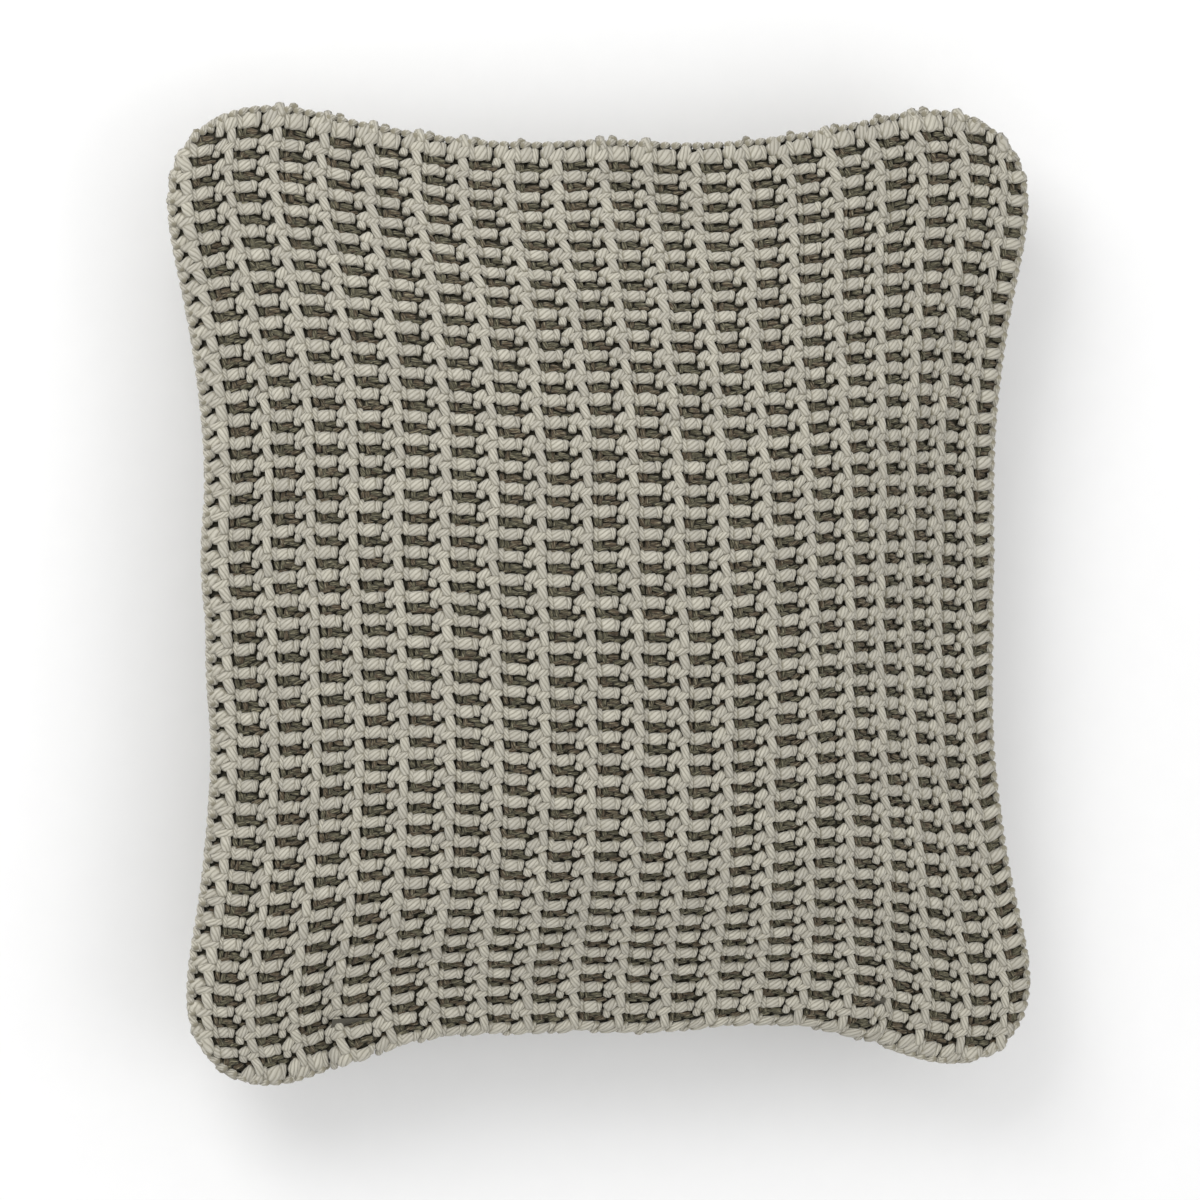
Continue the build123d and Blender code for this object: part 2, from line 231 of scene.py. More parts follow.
def new_tree(name, sockets):
    """An empty geometry tree with a geometry output and named inputs."""
    tree = bpy.data.node_groups.new(name, "GeometryNodeTree")
    tree.interface.new_socket("Geometry", in_out="OUTPUT", socket_type="NodeSocketGeometry")
    for label, kind in sockets:
        tree.interface.new_socket(label, in_out="INPUT", socket_type=kind)
    return tree, tree.nodes.new("NodeGroupInput").outputs


def close_tree(tree, geometry, material):
    """Realize the copies, give them their material and end the tree."""
    real = add_node(tree, "GeometryNodeRealizeInstances", {0: geometry})
    smooth = add_node(tree, "GeometryNodeSetShadeSmooth", {0: real.outputs[0]})
    shown = add_node(tree, "GeometryNodeSetMaterial", {0: smooth.outputs[0], "Material": material})
    tree.links.new(shown.outputs[0], tree.nodes.new("NodeGroupOutput").inputs[0])


def grow(name, tree, values):
    """Run a geometry tree with its inputs set, and keep the result as a plain mesh object."""
    carrier = bpy.data.objects.new(name + "_carrier", bpy.data.meshes.new(name + "_carrier"))
    bpy.context.scene.collection.objects.link(carrier)
    modifier = carrier.modifiers.new("grow", "NODES")
    modifier.node_group = tree
    for item in tree.interface.items_tree:
        if item.in_out == "INPUT" and item.name in values:
            modifier[item.identifier] = values[item.name]
    bpy.context.view_layer.update()
    seen = carrier.evaluated_get(bpy.context.evaluated_depsgraph_get())
    mesh = bpy.data.meshes.new_from_object(seen)
    mesh.name = name
    bpy.data.objects.remove(carrier)
    return place(name, mesh)


def place(name, mesh):
    """A new object in the scene for a mesh that is already where it belongs."""
    piece = bpy.data.objects.new(name, mesh)
    bpy.context.scene.collection.objects.link(piece)
    return piece


def fasten(piece, slot, *nodes):
    """Make a piece ride on the pillow and stand for its nodes; its slot is not used."""
    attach(piece, BODY)
    if nodes:
        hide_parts(*nodes)


# ---- Materials -------------------------------------------------------------------------------
def new_material(name, colour, roughness):
    """A material with one principled shader, whose colour is the given one until linked."""
    material = bpy.data.materials.new(name)
    material.use_nodes = True
    tree = material.node_tree
    shader = tree.nodes["Principled BSDF"]
    shader.inputs["Base Color"].default_value = (*colour, 1.0)
    shader.inputs["Roughness"].default_value = roughness
    return material, tree, shader


def bump(tree, shader, height, distance, strength=1.0):
    """Link a height to the shader's normal."""
    made = add_node(tree, "ShaderNodeBump",
                    {"Height": height, "Distance": distance, "Strength": strength})
    tree.links.new(made.outputs[0], shader.inputs["Normal"])


def mix(tree, factor, a, b):
    """Mix of two colours."""
    made = tree.nodes.new("ShaderNodeMix")
    made.data_type = "RGBA"
    for key, value in ((0, factor), (6, a), (7, b)):
        if isinstance(value, bpy.types.NodeSocket):
            tree.links.new(value, made.inputs[key])
        elif key == 0:
            made.inputs[key].default_value = value
        else:
            made.inputs[key].default_value = (*value[:3], 1.0)
    return made.outputs[2]


def ply_pattern(tree, plies, twist):
    """Plies of a strand from its own UV map: 0 between plies and 1 on a ply, and fibres along them."""
    uv = add_node(tree, "ShaderNodeUVMap", uv_map=YARN_UV)
    split = add_node(tree, "ShaderNodeSeparateXYZ", {0: uv.outputs[0]})
    tone = add_node(tree, "ShaderNodeAttribute", attribute_name=TONE).outputs["Fac"]
    around = maths(tree, "MULTIPLY", split.outputs[0], plies)
    along = maths(tree, "MULTIPLY", split.outputs[1], twist)
    phase = maths(tree, "ADD", maths(tree, "ADD", around, along), maths(tree, "MULTIPLY", tone, 3.0))
    ridge = maths(tree, "MULTIPLY", maths(tree, "PINGPONG", phase, 0.5), 2.0)
    height = maths(tree, "POWER", ridge, 0.36)
    # The ply height fades to nothing towards both ends of a strand, where the yarn tucks under; as the
    # yarn colours darken where the height is low, this paints shade on the ends.
    tuck = maths(tree, "ABSOLUTE", maths(tree, "SUBTRACT", split.outputs[1], 0.5))
    height = maths(tree, "MULTIPLY", height, spread_range(tree, tuck, 0.5, 0.36))
    drawn = add_node(tree, "ShaderNodeCombineXYZ", {
        0: maths(tree, "MULTIPLY", phase, 1.6), 1: split.outputs[1],
        2: maths(tree, "MULTIPLY", tone, 43.0)})
    fibre = add_node(tree, "ShaderNodeTexNoise",
                     {"Vector": drawn.outputs[0], "Scale": 2.2, "Detail": 3.0, "Roughness": 0.65})
    return height, fibre.outputs["Fac"], tone


def spread_range(tree, value, low, high):
    """A value stretched from `low` and `high` to 0 and 1."""
    return add_node(tree, "ShaderNodeMapRange",
                    {"Value": value, "From Min": low, "From Max": high}).outputs[0]


def light_yarn_material(colours):
    """Ecru plied yarn: painted shade in the narrow dips between plies and on the tucked ends of each
    strand, a little variation from stitch to stitch.
    """
    material, tree, shader = new_material("Ecru plied yarn", colours.light, 0.88)
    height, fibre, tone = ply_pattern(tree, 7.0, 1.9)
    light = colours.light
    # deep is the yarn's colour darkened: the painted shade between plies and at the strand ends, and the
    # darker fibres.
    deep = [c * f for c, f in zip(light, (0.42, 0.40, 0.34))]
    pale = [min(c * 1.08, 1.0) for c in light]
    body = mix(tree, tone, [c * f for c, f in zip(light, (0.90, 0.90, 0.92))], pale)
    fibres = mix(tree, maths(tree, "MULTIPLY", spread_range(tree, fibre, 0.62, 0.38), 0.30), body, deep)
    # Painted shade: the colour goes towards deep where the ply height is low, between plies and at the
    # strand ends.
    painted_groove_shade = maths(tree, "POWER", maths(tree, "SUBTRACT", 1.0, height), 1.2)
    tree.links.new(mix(tree, painted_groove_shade, fibres, deep), shader.inputs["Base Color"])
    shader.inputs["Sheen Weight"].default_value = 0.2
    shader.inputs["Sheen Roughness"].default_value = 0.5
    shader.inputs["Specular IOR Level"].default_value = 0.2
    bump(tree, shader, maths(tree, "ADD", height, maths(tree, "MULTIPLY", fibre, 0.6)), 0.5 * MM)
    return material


def dark_yarn_material(colours):
    """Olive marl yarn: dark plies with brown and tan fibres drawn along them, and painted shade in
    near-black streaks, between plies and at the strand ends.
    """
    material, tree, shader = new_material("Olive marl yarn", colours.dark, 0.92)
    height, fibre, tone = ply_pattern(tree, 5.0, 1.2)
    body = mix(tree, spread_range(tree, tone, 0.5, 0.7), colours.dark, colours.brown)
    marl = mix(tree, spread_range(tree, fibre, 0.50, 0.66), body, colours.tan)
    # Painted shade: near-black streaks where the fibre noise is low.
    shade = mix(tree, spread_range(tree, fibre, 0.46, 0.34), marl, [c * 0.3 for c in colours.dark])
    # Painted shade: near black where the ply height is low, between plies and at the strand ends.
    painted_groove_shade = maths(tree, "SUBTRACT", 1.0, height)
    tree.links.new(mix(tree, painted_groove_shade, shade, [c * 0.25 for c in colours.dark]),
                   shader.inputs["Base Color"])
    shader.inputs["Sheen Weight"].default_value = 0.1
    shader.inputs["Specular IOR Level"].default_value = 0.15
    bump(tree, shader, maths(tree, "ADD", height, fibre), 0.6 * MM)
    return material


def weave_material(name, colour, pitch, roughness=0.85, sheen=0.1):
    """Plain weave in the object's own coordinates: two crossed sets of fine ribs."""
    material, tree, shader = new_material(name, colour, roughness)
    place_at = add_node(tree, "ShaderNodeTexCoord").outputs["Object"]
    split = add_node(tree, "ShaderNodeSeparateXYZ", {0: place_at})
    waves = []
    for k in range(3):
        phase = maths(tree, "MULTIPLY", split.outputs[k], 2 * math.pi / pitch)
        waves.append(maths(tree, "SINE", phase))
    threads = maths(tree, "MULTIPLY", maths(tree, "ADD", waves[0], waves[2]), waves[1])
    grain = add_node(tree, "ShaderNodeTexNoise",
                     {"Vector": place_at, "Scale": 0.4 / pitch, "Detail": 4.0}).outputs["Fac"]
    shade = mix(tree, maths(tree, "MULTIPLY", grain, 0.5), colour, [c * 0.72 for c in colour])
    dark = mix(tree, maths(tree, "MULTIPLY", maths(tree, "ADD", threads, 1.0), 0.14), shade,
               [c * 0.6 for c in colour])
    tree.links.new(dark, shader.inputs["Base Color"])
    shader.inputs["Sheen Weight"].default_value = sheen
    bump(tree, shader, threads, pitch * 0.3, 0.6)
    return material


def metal_material():
    """Lacquered die-cast zip metal, with brushed wear."""
    material, tree, shader = new_material("Lacquered zip metal", (0.20, 0.18, 0.14), 0.42)
    where = add_node(tree, "ShaderNodeTexCoord").outputs["Object"]
    wear = add_node(tree, "ShaderNodeTexNoise",
                    {"Vector": where, "Scale": 900.0, "Detail": 5.0}).outputs["Fac"]
    rough = add_node(tree, "ShaderNodeMapRange",
                     {"Value": wear, "To Min": 0.32, "To Max": 0.55}).outputs[0]
    tree.links.new(rough, shader.inputs["Roughness"])
    tree.links.new(mix(tree, wear, (0.24, 0.215, 0.17), (0.13, 0.115, 0.09)),
                   shader.inputs["Base Color"])
    shader.inputs["Metallic"].default_value = 0.9
    bump(tree, shader, wear, 0.05 * MM, 0.4)
    return material


def nylon_material():
    """Semi-gloss nylon of the zip's coil."""
    material, tree, shader = new_material("Nylon coil", (0.09, 0.08, 0.06), 0.38)
    where = add_node(tree, "ShaderNodeTexCoord").outputs["Object"]
    mottle = add_node(tree, "ShaderNodeTexNoise",
                      {"Vector": where, "Scale": 700.0, "Detail": 3.0}).outputs["Fac"]
    tree.links.new(mix(tree, mottle, (0.075, 0.068, 0.05), (0.12, 0.105, 0.08)),
                   shader.inputs["Base Color"])
    bump(tree, shader, mottle, 0.03 * MM, 0.3)
    return material


def thread_material():
    """Sewing thread: fine diagonal twist, with painted shade in its dips and a lighter colour on its
    crests.
    """
    material, tree, shader = new_material("Sewing thread", (0.32, 0.29, 0.22), 0.8)
    where = add_node(tree, "ShaderNodeTexCoord").outputs["Object"]
    split = add_node(tree, "ShaderNodeSeparateXYZ", {0: where})
    slant = maths(tree, "ADD", split.outputs[0], maths(tree, "ADD", split.outputs[1], split.outputs[2]))
    twist = maths(tree, "SINE", maths(tree, "MULTIPLY", slant, 2 * math.pi / (0.9 * MM)))
    # Painted shade: the colour follows the twist's bump, dark in its dips and light on its crests.
    tree.links.new(mix(tree, maths(tree, "MULTIPLY", maths(tree, "ADD", twist, 1.0), 0.5),
                       (0.22, 0.20, 0.15), (0.42, 0.39, 0.30)), shader.inputs["Base Color"])
    bump(tree, shader, twist, 0.1 * MM)
    return material


# ---- Stuffed form ----------------------------------------------------------------------------
CELLS_X = 56
CELLS_Y = 62
RIM_ANGLES = 360  # directions in which the cover's outline is measured
RIM_PASSES = 6  # times that the outline is smoothed
CORNER_POINTS = 144  # points on a flat panel's outline
SPREAD_PASSES = 1200  # enough for a shift of the border to settle over the grid
REST_SOFTNESS = 6.0 * MM  # how gently the back flattens where it rests
BACK_FULLNESS = 1.12  # back's depth before it is flattened by the surface it rests on
LIP_ROOM = 2.2 * MM  # zip slider's top to the panel's lip
LIP_REACH = 0.045  # how far in from the edge the lip is parted
LIP_OUT = 2.0 * MM  # how far the lip leans out past the edge
SWELL_REACH = 0.012  # distance in from the edge where the knit rounds over the tape
SWELL_UP = 3.5 * MM
SWELL_OUT = 3.0 * MM


def simulate_form(form):
    """Two flat panels joined at their edges, blown up as cloth. Returns front and back grids."""
    across = np.linspace(-0.5, 0.5, CELLS_X + 1)
    along = np.linspace(-0.5, 0.5, CELLS_Y + 1)
    u, v = np.meshgrid(across, along)
    swell = (1 - (2 * u) ** 2) * (1 - (2 * v) ** 2)
    start = np.stack([u * form.flat_width, v * form.flat_length, 0.012 * swell], axis=-1)
    count = u.size
    front_index = np.arange(count).reshape(u.shape)
    back_index = front_index.copy()
    inner = back_index[1:-1, 1:-1]
    inner[:] = count + np.arange(inner.size).reshape(inner.shape)
    under = (start * (1, 1, -1))[1:-1, 1:-1].reshape(-1, 3)
    points = np.concatenate([start.reshape(-1, 3), under])
    faces = []
    for index, turn in ((front_index, 1), (back_index, -1)):
        quads = np.stack([index[:-1, :-1], index[:-1, 1:], index[1:, 1:], index[1:, :-1]], axis=-1)
        faces.append(quads.reshape(-1, 4)[:, ::turn])
    mesh = bpy.data.meshes.new("stuffing_cloth")
    mesh.from_pydata(points.tolist(), [], np.concatenate(faces).tolist())
    cloth_object = place("stuffing_cloth", mesh)
    points = settle_cloth(cloth_object, form)
    bpy.data.objects.remove(cloth_object)
    return points[front_index], points[back_index]


def settle_cloth(cloth_object, form):
    """Blow the joined panels up and return where their points settle."""
    modifier = cloth_object.modifiers.new("cloth", "CLOTH")
    cloth = modifier.settings
    cloth.quality = 6
    cloth.mass = 0.25
    cloth.tension_stiffness = 5.0
    cloth.compression_stiffness = 5.0
    cloth.shear_stiffness = 1.0
    cloth.bending_stiffness = 4.0
    cloth.tension_damping = 12.0
    cloth.air_damping = 3.0
    cloth.use_pressure = True
    cloth.uniform_pressure_force = form.pressure
    cloth.effector_weights.gravity = 0.0
    modifier.collision_settings.use_collision = False
    modifier.point_cache.frame_start = 1
    modifier.point_cache.frame_end = form.steps
    scene = bpy.context.scene
    for step in range(1, form.steps + 1):
        scene.frame_set(step)
    seen = cloth_object.evaluated_get(bpy.context.evaluated_depsgraph_get())
    settled = np.empty(len(seen.data.vertices) * 3)
    seen.data.vertices.foreach_get("co", settled)
    scene.frame_set(1)
    return settled.reshape(-1, 3)


def node_rim():
    """Outline of the cover at its seam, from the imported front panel."""
    mesh = bpy.data.objects["cover_front_panel"].data
    points, normals = np.empty(len(mesh.vertices) * 3), np.empty(len(mesh.vertices) * 3)
    mesh.vertices.foreach_get("co", points)
    mesh.vertices.foreach_get("normal", normals)
    points, normals = points.reshape(-1, 3), normals.reshape(-1, 3)
    outside = (points[:, :2] * normals[:, :2]).sum(axis=1) > 0.3 * np.hypot(*points.T[:2])
    seam = points[:, 2] < PANEL_LOW.z + 0.3 * MM
    lip = (points[:, 2] < COIL_HIGH.z + 5.0 * MM) & (points[:, 1] < COIL_HIGH.y)
    lip &= np.abs(points[:, 0]) < COIL_HIGH.x
    low = points[(seam | lip) & outside][:, :2]
    angle = np.arctan2(low[:, 1], low[:, 0])
    order = np.argsort(angle)
    even = np.linspace(-math.pi, math.pi, RIM_ANGLES + 1)[:-1]
    reach = np.interp(even, angle[order], np.hypot(*low[order].T), period=2 * math.pi)
    for _ in range(RIM_PASSES):
        reach = (np.roll(reach, 1) + reach + np.roll(reach, -1)) / 3
    return np.stack([np.cos(even), np.sin(even)], axis=-1) * reach[:, None]


def flat_rim(form):
    """Outline of a flat panel: a rectangle with rounded corners."""
    radius = form.corner_radius
    centre = np.array([form.flat_width, form.flat_length]) / 2 - radius
    outline = []
    half_step = math.pi / CORNER_POINTS
    for angle in np.linspace(-math.pi, math.pi, CORNER_POINTS, endpoint=False) + half_step:
        way = np.array([math.cos(angle), math.sin(angle)])
        outline.append(np.sign(way) * centre + radius * way)
    return np.array(outline)


def resample(line, count):
    """Evenly spaced points along a line."""
    length = np.concatenate([[0], np.cumsum(np.linalg.norm(np.diff(line, axis=0), axis=1))])
    at = np.linspace(0, length[-1], count)
    return np.stack([np.interp(at, length, line[:, k]) for k in range(line.shape[1])], axis=-1)


def border_grid(outline):
    """Spread an outline over the border of a panel grid, corner to corner."""
    reach = np.linalg.norm(outline, axis=-1)
    corner = {}
    for side in ((-1, -1), (1, -1), (1, 1), (-1, 1)):
        inside = np.flatnonzero((np.sign(outline) == side).all(axis=1))
        corner[side] = inside[reach[inside].argmax()]
    looped = np.concatenate([outline, outline])

    def edge(start, end, count):
        first, last = corner[start], corner[end]
        if last < first:
            last += len(outline)
        return resample(looped[first:last + 1], count)

    grid = np.zeros((CELLS_Y + 1, CELLS_X + 1, 2))
    grid[0] = edge((-1, -1), (1, -1), CELLS_X + 1)
    grid[:, -1] = edge((1, -1), (1, 1), CELLS_Y + 1)
    grid[-1] = edge((1, 1), (-1, 1), CELLS_X + 1)[::-1]
    grid[:, 0] = edge((-1, 1), (-1, -1), CELLS_Y + 1)[::-1]
    return grid


def spread(shift):
    """Carry the shift of a grid's border smoothly over its inside."""
    shift = shift.copy()
    v, u = np.meshgrid(np.linspace(0, 1, CELLS_Y + 1), np.linspace(0, 1, CELLS_X + 1), indexing="ij")
    u, v = u[..., None], v[..., None]
    inside = ((1 - v) * shift[:1] + v * shift[-1:] + (1 - u) * shift[:, :1] + u * shift[:, -1:]) / 2
    shift[1:-1, 1:-1] = inside[1:-1, 1:-1]
    for _ in range(SPREAD_PASSES):
        shift[1:-1, 1:-1] = (shift[:-2, 1:-1] + shift[2:, 1:-1] + shift[1:-1, :-2]
                             + shift[1:-1, 2:]) / 4
    return shift


def smooth_cap(depth, limit):
    """Depth held softly below a limit, as where the pillow rests on a table."""
    return limit - np.logaddexp(0.0, (limit - depth) / REST_SOFTNESS) * REST_SOFTNESS


def ease(grid, passes):
    """Ease the sharp creases that a stretchy knit does not form."""
    for _ in range(passes):
        eased = grid.copy()
        eased[1:-1, 1:-1] = (grid[:-2, 1:-1] + grid[2:, 1:-1] + grid[1:-1, :-2] + grid[1:-1, 2:]) / 4
        for row in (0, -1):
            eased[row, 1:-1] = (grid[row, :-2] + grid[row, 2:]) / 2
        for column in (0, -1):
            eased[1:-1, column] = (grid[:-2, column] + grid[2:, column]) / 2
        grid[:] = eased


def lean(rim, form):
    """Set a corner of the outline in or out, as hand sewing leaves it."""
    half = np.abs(rim).reshape(-1, 2).max(axis=0)
    share = rim / half
    low_left = np.clip(-share[..., 0], 0, 1) * np.clip(-share[..., 1], 0, 1)
    low_right = np.clip(share[..., 0], 0, 1) * np.clip(-share[..., 1], 0, 1)
    rim[..., 0] += form.corner_lean * low_left
    rim[..., 0] += 0.5 * form.corner_lean * low_right ** 3
    rim[..., 1] -= 0.6 * form.corner_lean * low_right ** 3
    return rim


def fit_form(front, back, form):
    """Fit the settled cloth to the cover's own outline, crown and flat back."""
    outline = node_rim()
    outline *= 1 - form.yarn_depth / np.linalg.norm(outline, axis=-1, keepdims=True)
    wanted = lean(border_grid(outline), form)
    rise = CAD_HIGH.z - SEAM_Z - form.yarn_depth
    drop = SEAM_Z - CAD_LOW.z - form.yarn_depth
    v, u = np.meshgrid(np.linspace(-1, 1, CELLS_Y + 1), np.linspace(-1, 1, CELLS_X + 1), indexing="ij")
    settled = (1 - u ** 2) * (1 - v ** 2)
    for grid in (front, back):
        ease(grid, form.easing)
        shift = np.where(border_mask()[..., None], wanted - grid[..., :2], 0.0)
        grid[..., :2] += spread(shift)
        grid[..., :2] += form.straightness * (spread(wanted) - grid[..., :2])
        for column in range(CELLS_X + 1):
            along, height = grid[:, column, 1], grid[:, column, 2]
            above = along + form.crown_shift * settled[:, column]
            grid[:, column, 2] = np.interp(above, along, height)
    front[..., 2] = rise * np.clip(front[..., 2] / front[..., 2].max(), 0, 1) ** form.slimness
    depth = BACK_FULLNESS * drop * np.clip(back[..., 2] / back[..., 2].min(), 0, 1) ** form.slimness
    back[..., 2] = -smooth_cap(depth, drop)
    back[..., 2] -= back[..., 2][0, 0]
    for grid in (front, back):
        grid[..., 2][border_mask()] = 0.0
        even_out(grid)
    return front, back


def even_out(grid):
    """Space the points of a grid evenly along its rows and columns, as an even knit lies."""
    for _ in range(3):
        for line in range(1, CELLS_X):
            grid[:, line] += 0.5 * (resample(grid[:, line], CELLS_Y + 1) - grid[:, line])
        for line in range(1, CELLS_Y):
            grid[line] = resample(grid[line], CELLS_X + 1)


def border_mask():
    """True on the border of a panel grid."""
    mask = np.zeros((CELLS_Y + 1, CELLS_X + 1), bool)
    mask[[0, -1]] = True
    mask[:, [0, -1]] = True
    return mask


def flat_places(form):
    """Where each grid point lies on the flat panel, 0 to 1."""
    size = np.array([form.flat_width, form.flat_length])
    across, along = np.linspace(-0.5, 0.5, CELLS_X + 1), np.linspace(-0.5, 0.5, CELLS_Y + 1)
    square = np.stack(np.meshgrid(across, along), axis=-1) * size
    shift = np.where(border_mask()[..., None], border_grid(flat_rim(form)) - square, 0.0)
    return (square + spread(shift)) / size + 0.5


def fold(grid, start, end, depth, width):
    """Press a soft valley into a grid along a line, with the cloth raised a little beside it."""
    start, end = np.array(start), np.array(end)
    line = end - start
    share = np.clip(((grid[..., :2] - start) @ line) / (line @ line), 0, 1)
    nearest = start + share[..., None] * line
    away = np.linalg.norm(grid[..., :2] - nearest, axis=-1) / width
    valley = np.exp(-away ** 2) - 0.45 * np.exp(-((away - 1.9) ** 2))
    grid[..., 2] -= depth * valley * np.sin(np.pi * np.clip(0.12 + 0.88 * share, 0, 1)) ** 0.6


def open_slot(grid, side, form):
    """Part the panel's lip from the seam plane along the zip, and let it bulge over the tape."""
    half = (TAPE_HIGH.x - TAPE_LOW.x) / 2
    lip = SLIDER_HIGH.z - SEAM_Z + LIP_ROOM
    across = np.clip((half - np.abs(grid[..., 0])) / SWELL_REACH, 0, 1)
    along = np.linspace(0, form.flat_length, CELLS_Y + 1)[:, None]
    near = np.exp(-along / LIP_REACH)
    across = across * across * (3 - 2 * across)
    swell = across * (along / SWELL_REACH) * np.exp(1 - along / SWELL_REACH)
    grid[..., 2] += side * (lip * across * near + SWELL_UP * swell)
    grid[..., 1] -= LIP_OUT * across * near + SWELL_OUT * swell


def outward_vectors(front, back):
    """Unit vectors out of the form: shared where the two panels meet."""
    found = []
    for grid, side in ((front, 1), (back, -1)):
        cross = np.cross(np.gradient(grid, axis=1), np.gradient(grid, axis=0)) * side
        length = np.linalg.norm(cross, axis=-1, keepdims=True)
        found.append(cross / np.maximum(length, 1e-12))
    rim = border_mask()
    for normals in found:
        normals[rim] = rim_vectors(front)[rim]
    return found


def rim_vectors(grid):
    """Level unit vectors that point away from the form along its border."""
    rows, columns = np.indices(grid.shape[:2])
    loop = [(rows[pick], columns[pick]) for pick in (
        np.s_[0, :-1], np.s_[:-1, -1], np.s_[-1, :0:-1], np.s_[:0:-1, 0])]
    row, column = (np.concatenate(part) for part in zip(*loop))
    line = grid[row, column, :2]
    ahead = np.roll(line, -1, axis=0) - np.roll(line, 1, axis=0)
    ahead /= np.linalg.norm(ahead, axis=-1, keepdims=True)
    vectors = np.zeros(grid.shape)
    vectors[row, column, 0] = ahead[:, 1]
    vectors[row, column, 1] = -ahead[:, 0]
    return vectors


def grid_faces(turn):
    """Quads of a panel grid."""
    index = np.arange((CELLS_X + 1) * (CELLS_Y + 1)).reshape(CELLS_Y + 1, CELLS_X + 1)
    quads = np.stack([index[:-1, :-1], index[:-1, 1:], index[1:, 1:], index[1:, :-1]], axis=-1)
    return quads.reshape(-1, 4)[:, ::turn]


def form_mesh(name, grid, normals, places, side):
    """A panel of the form as a mesh that knows its flat place and its outward side."""
    mesh = bpy.data.meshes.new(name)
    mesh.from_pydata(grid.reshape(-1, 3).tolist(), [], grid_faces(side).tolist())
    flat = places.reshape(-1, 2).copy()
    if side < 0:
        flat[:, 0] = 1 - flat[:, 0]
    corners = np.empty(len(mesh.loops), dtype=np.int32)
    mesh.loops.foreach_get("vertex_index", corners)
    layer = mesh.uv_layers.new(name=FLAT_UV)
    layer.uv.foreach_set("vector", flat[corners].ravel())
    outward = mesh.attributes.new(OUTWARD, "FLOAT_VECTOR", "POINT")
    outward.data.foreach_set("vector", normals.ravel())
    mesh.polygons.foreach_set("use_smooth", [True] * len(mesh.polygons))
    mesh.update()
    return place(name, mesh)


# Soft folds in the front panel: start, end, share of the fold depth, width.
FOLDS = [
    ((0.005, 0.218), (0.060, 0.165), 1.0, 0.017),
    ((-0.160, -0.205), (-0.070, -0.165), 1.0, 0.019),
    ((0.185, -0.195), (0.100, -0.160), 0.8, 0.020),
    ((0.165, 0.200), (0.125, 0.160), 0.6, 0.017),
]


class PILLOW_OT_form(bpy.types.Operator):
    """Settle the stuffed form that the cover, the insert and the filling follow"""

    bl_idname = "pillow.form"
    bl_label = "Stuffed form"

    def execute(self, context):
        form = context.scene.pillow_form
        front, back = fit_form(*simulate_form(form), form)
        for start, end, share, width in FOLDS:
            fold(front, start, end, share * form.fold_depth, width)
        for grid, side in ((front, 1), (back, -1)):
            open_slot(grid, side, form)
            grid[..., 2] += SEAM_Z
        normals = outward_vectors(front, back)
        places = flat_places(form)
        form_mesh("form_front", front, normals[0], places, 1)
        form_mesh("form_back", back, normals[1], places, -1)
        return {"FINISHED"}


# ---- Knitted panels --------------------------------------------------------------------------
# Each strand that shows in one repeat, in millimetres from the middle of its slip stitch's base:
# across, along, height of its middle, length, width, depth, turn in degrees.
LIGHT_STRANDS = [
    (-0.1, 5.2, 3.8, 9.6, 4.9, 4.6, 102),  # slip stitch over the dark row
    (-1.2, -1.0, 3.4, 8.2, 4.9, 4.4, 22),  # its lower leg
    (-5.0, 1.3, 3.1, 8.0, 5.4, 4.6, 36),  # its upper leg
    (-6.9, -3.4, 2.7, 5.0, 4.4, 4.0, 80),  # tail that hangs over the dark row
    (3.8, 0.4, 2.4, 7.4, 4.2, 4.1, 106),  # narrow strand beside the slip stitch
    (8.3, 0.0, 3.0, 7.8, 6.6, 4.7, 8),  # wide purl bump
    (12.7, 0.2, 2.5, 6.3, 4.4, 4.0, 78),  # strand between bump and next leg
]
DARK_STRANDS = [
    (3.9, -5.3, 1.0, 5.6, 2.9, 3.0, 96),
    (6.9, -5.2, 0.8, 5.8, 2.8, 3.0, 86),
    (11.4, -4.7, 1.1, 6.8, 3.0, 3.0, -12),
    (14.2, -7.5, 1.0, 6.8, 2.6, 2.8, 6),
    (-3.4, -7.4, 0.4, 5.6, 2.6, 2.6, -6),
    (6.2, -8.2, 0.9, 7.4, 2.4, 2.8, 5),
    (9.6, -6.6, 0.6, 5.6, 2.4, 2.6, -8),
]
LIGHT_PARTS = 3  # pieces that each panel's light yarn is split into
DARK_PARTS = 2
REPEAT_SHIFT = (-2.9 * MM, -0.4 * MM)  # centres the repeat, which reaches further to its right
DARK_LOOSENESS = 2.0  # the dark yarn lies less evenly than the light
GROUND_INWARD = 0.2 * MM
GROUND_THICKNESS = 1.0 * MM
# Rings of a strand of yarn: place along it, -1 to 1, and share of its full thickness.
STRAND_RINGS = ((-0.95, 0.66), (-0.72, 0.93), (0.0, 1.0), (0.72, 0.93), (0.95, 0.66))
STRAND_SIDES = 8


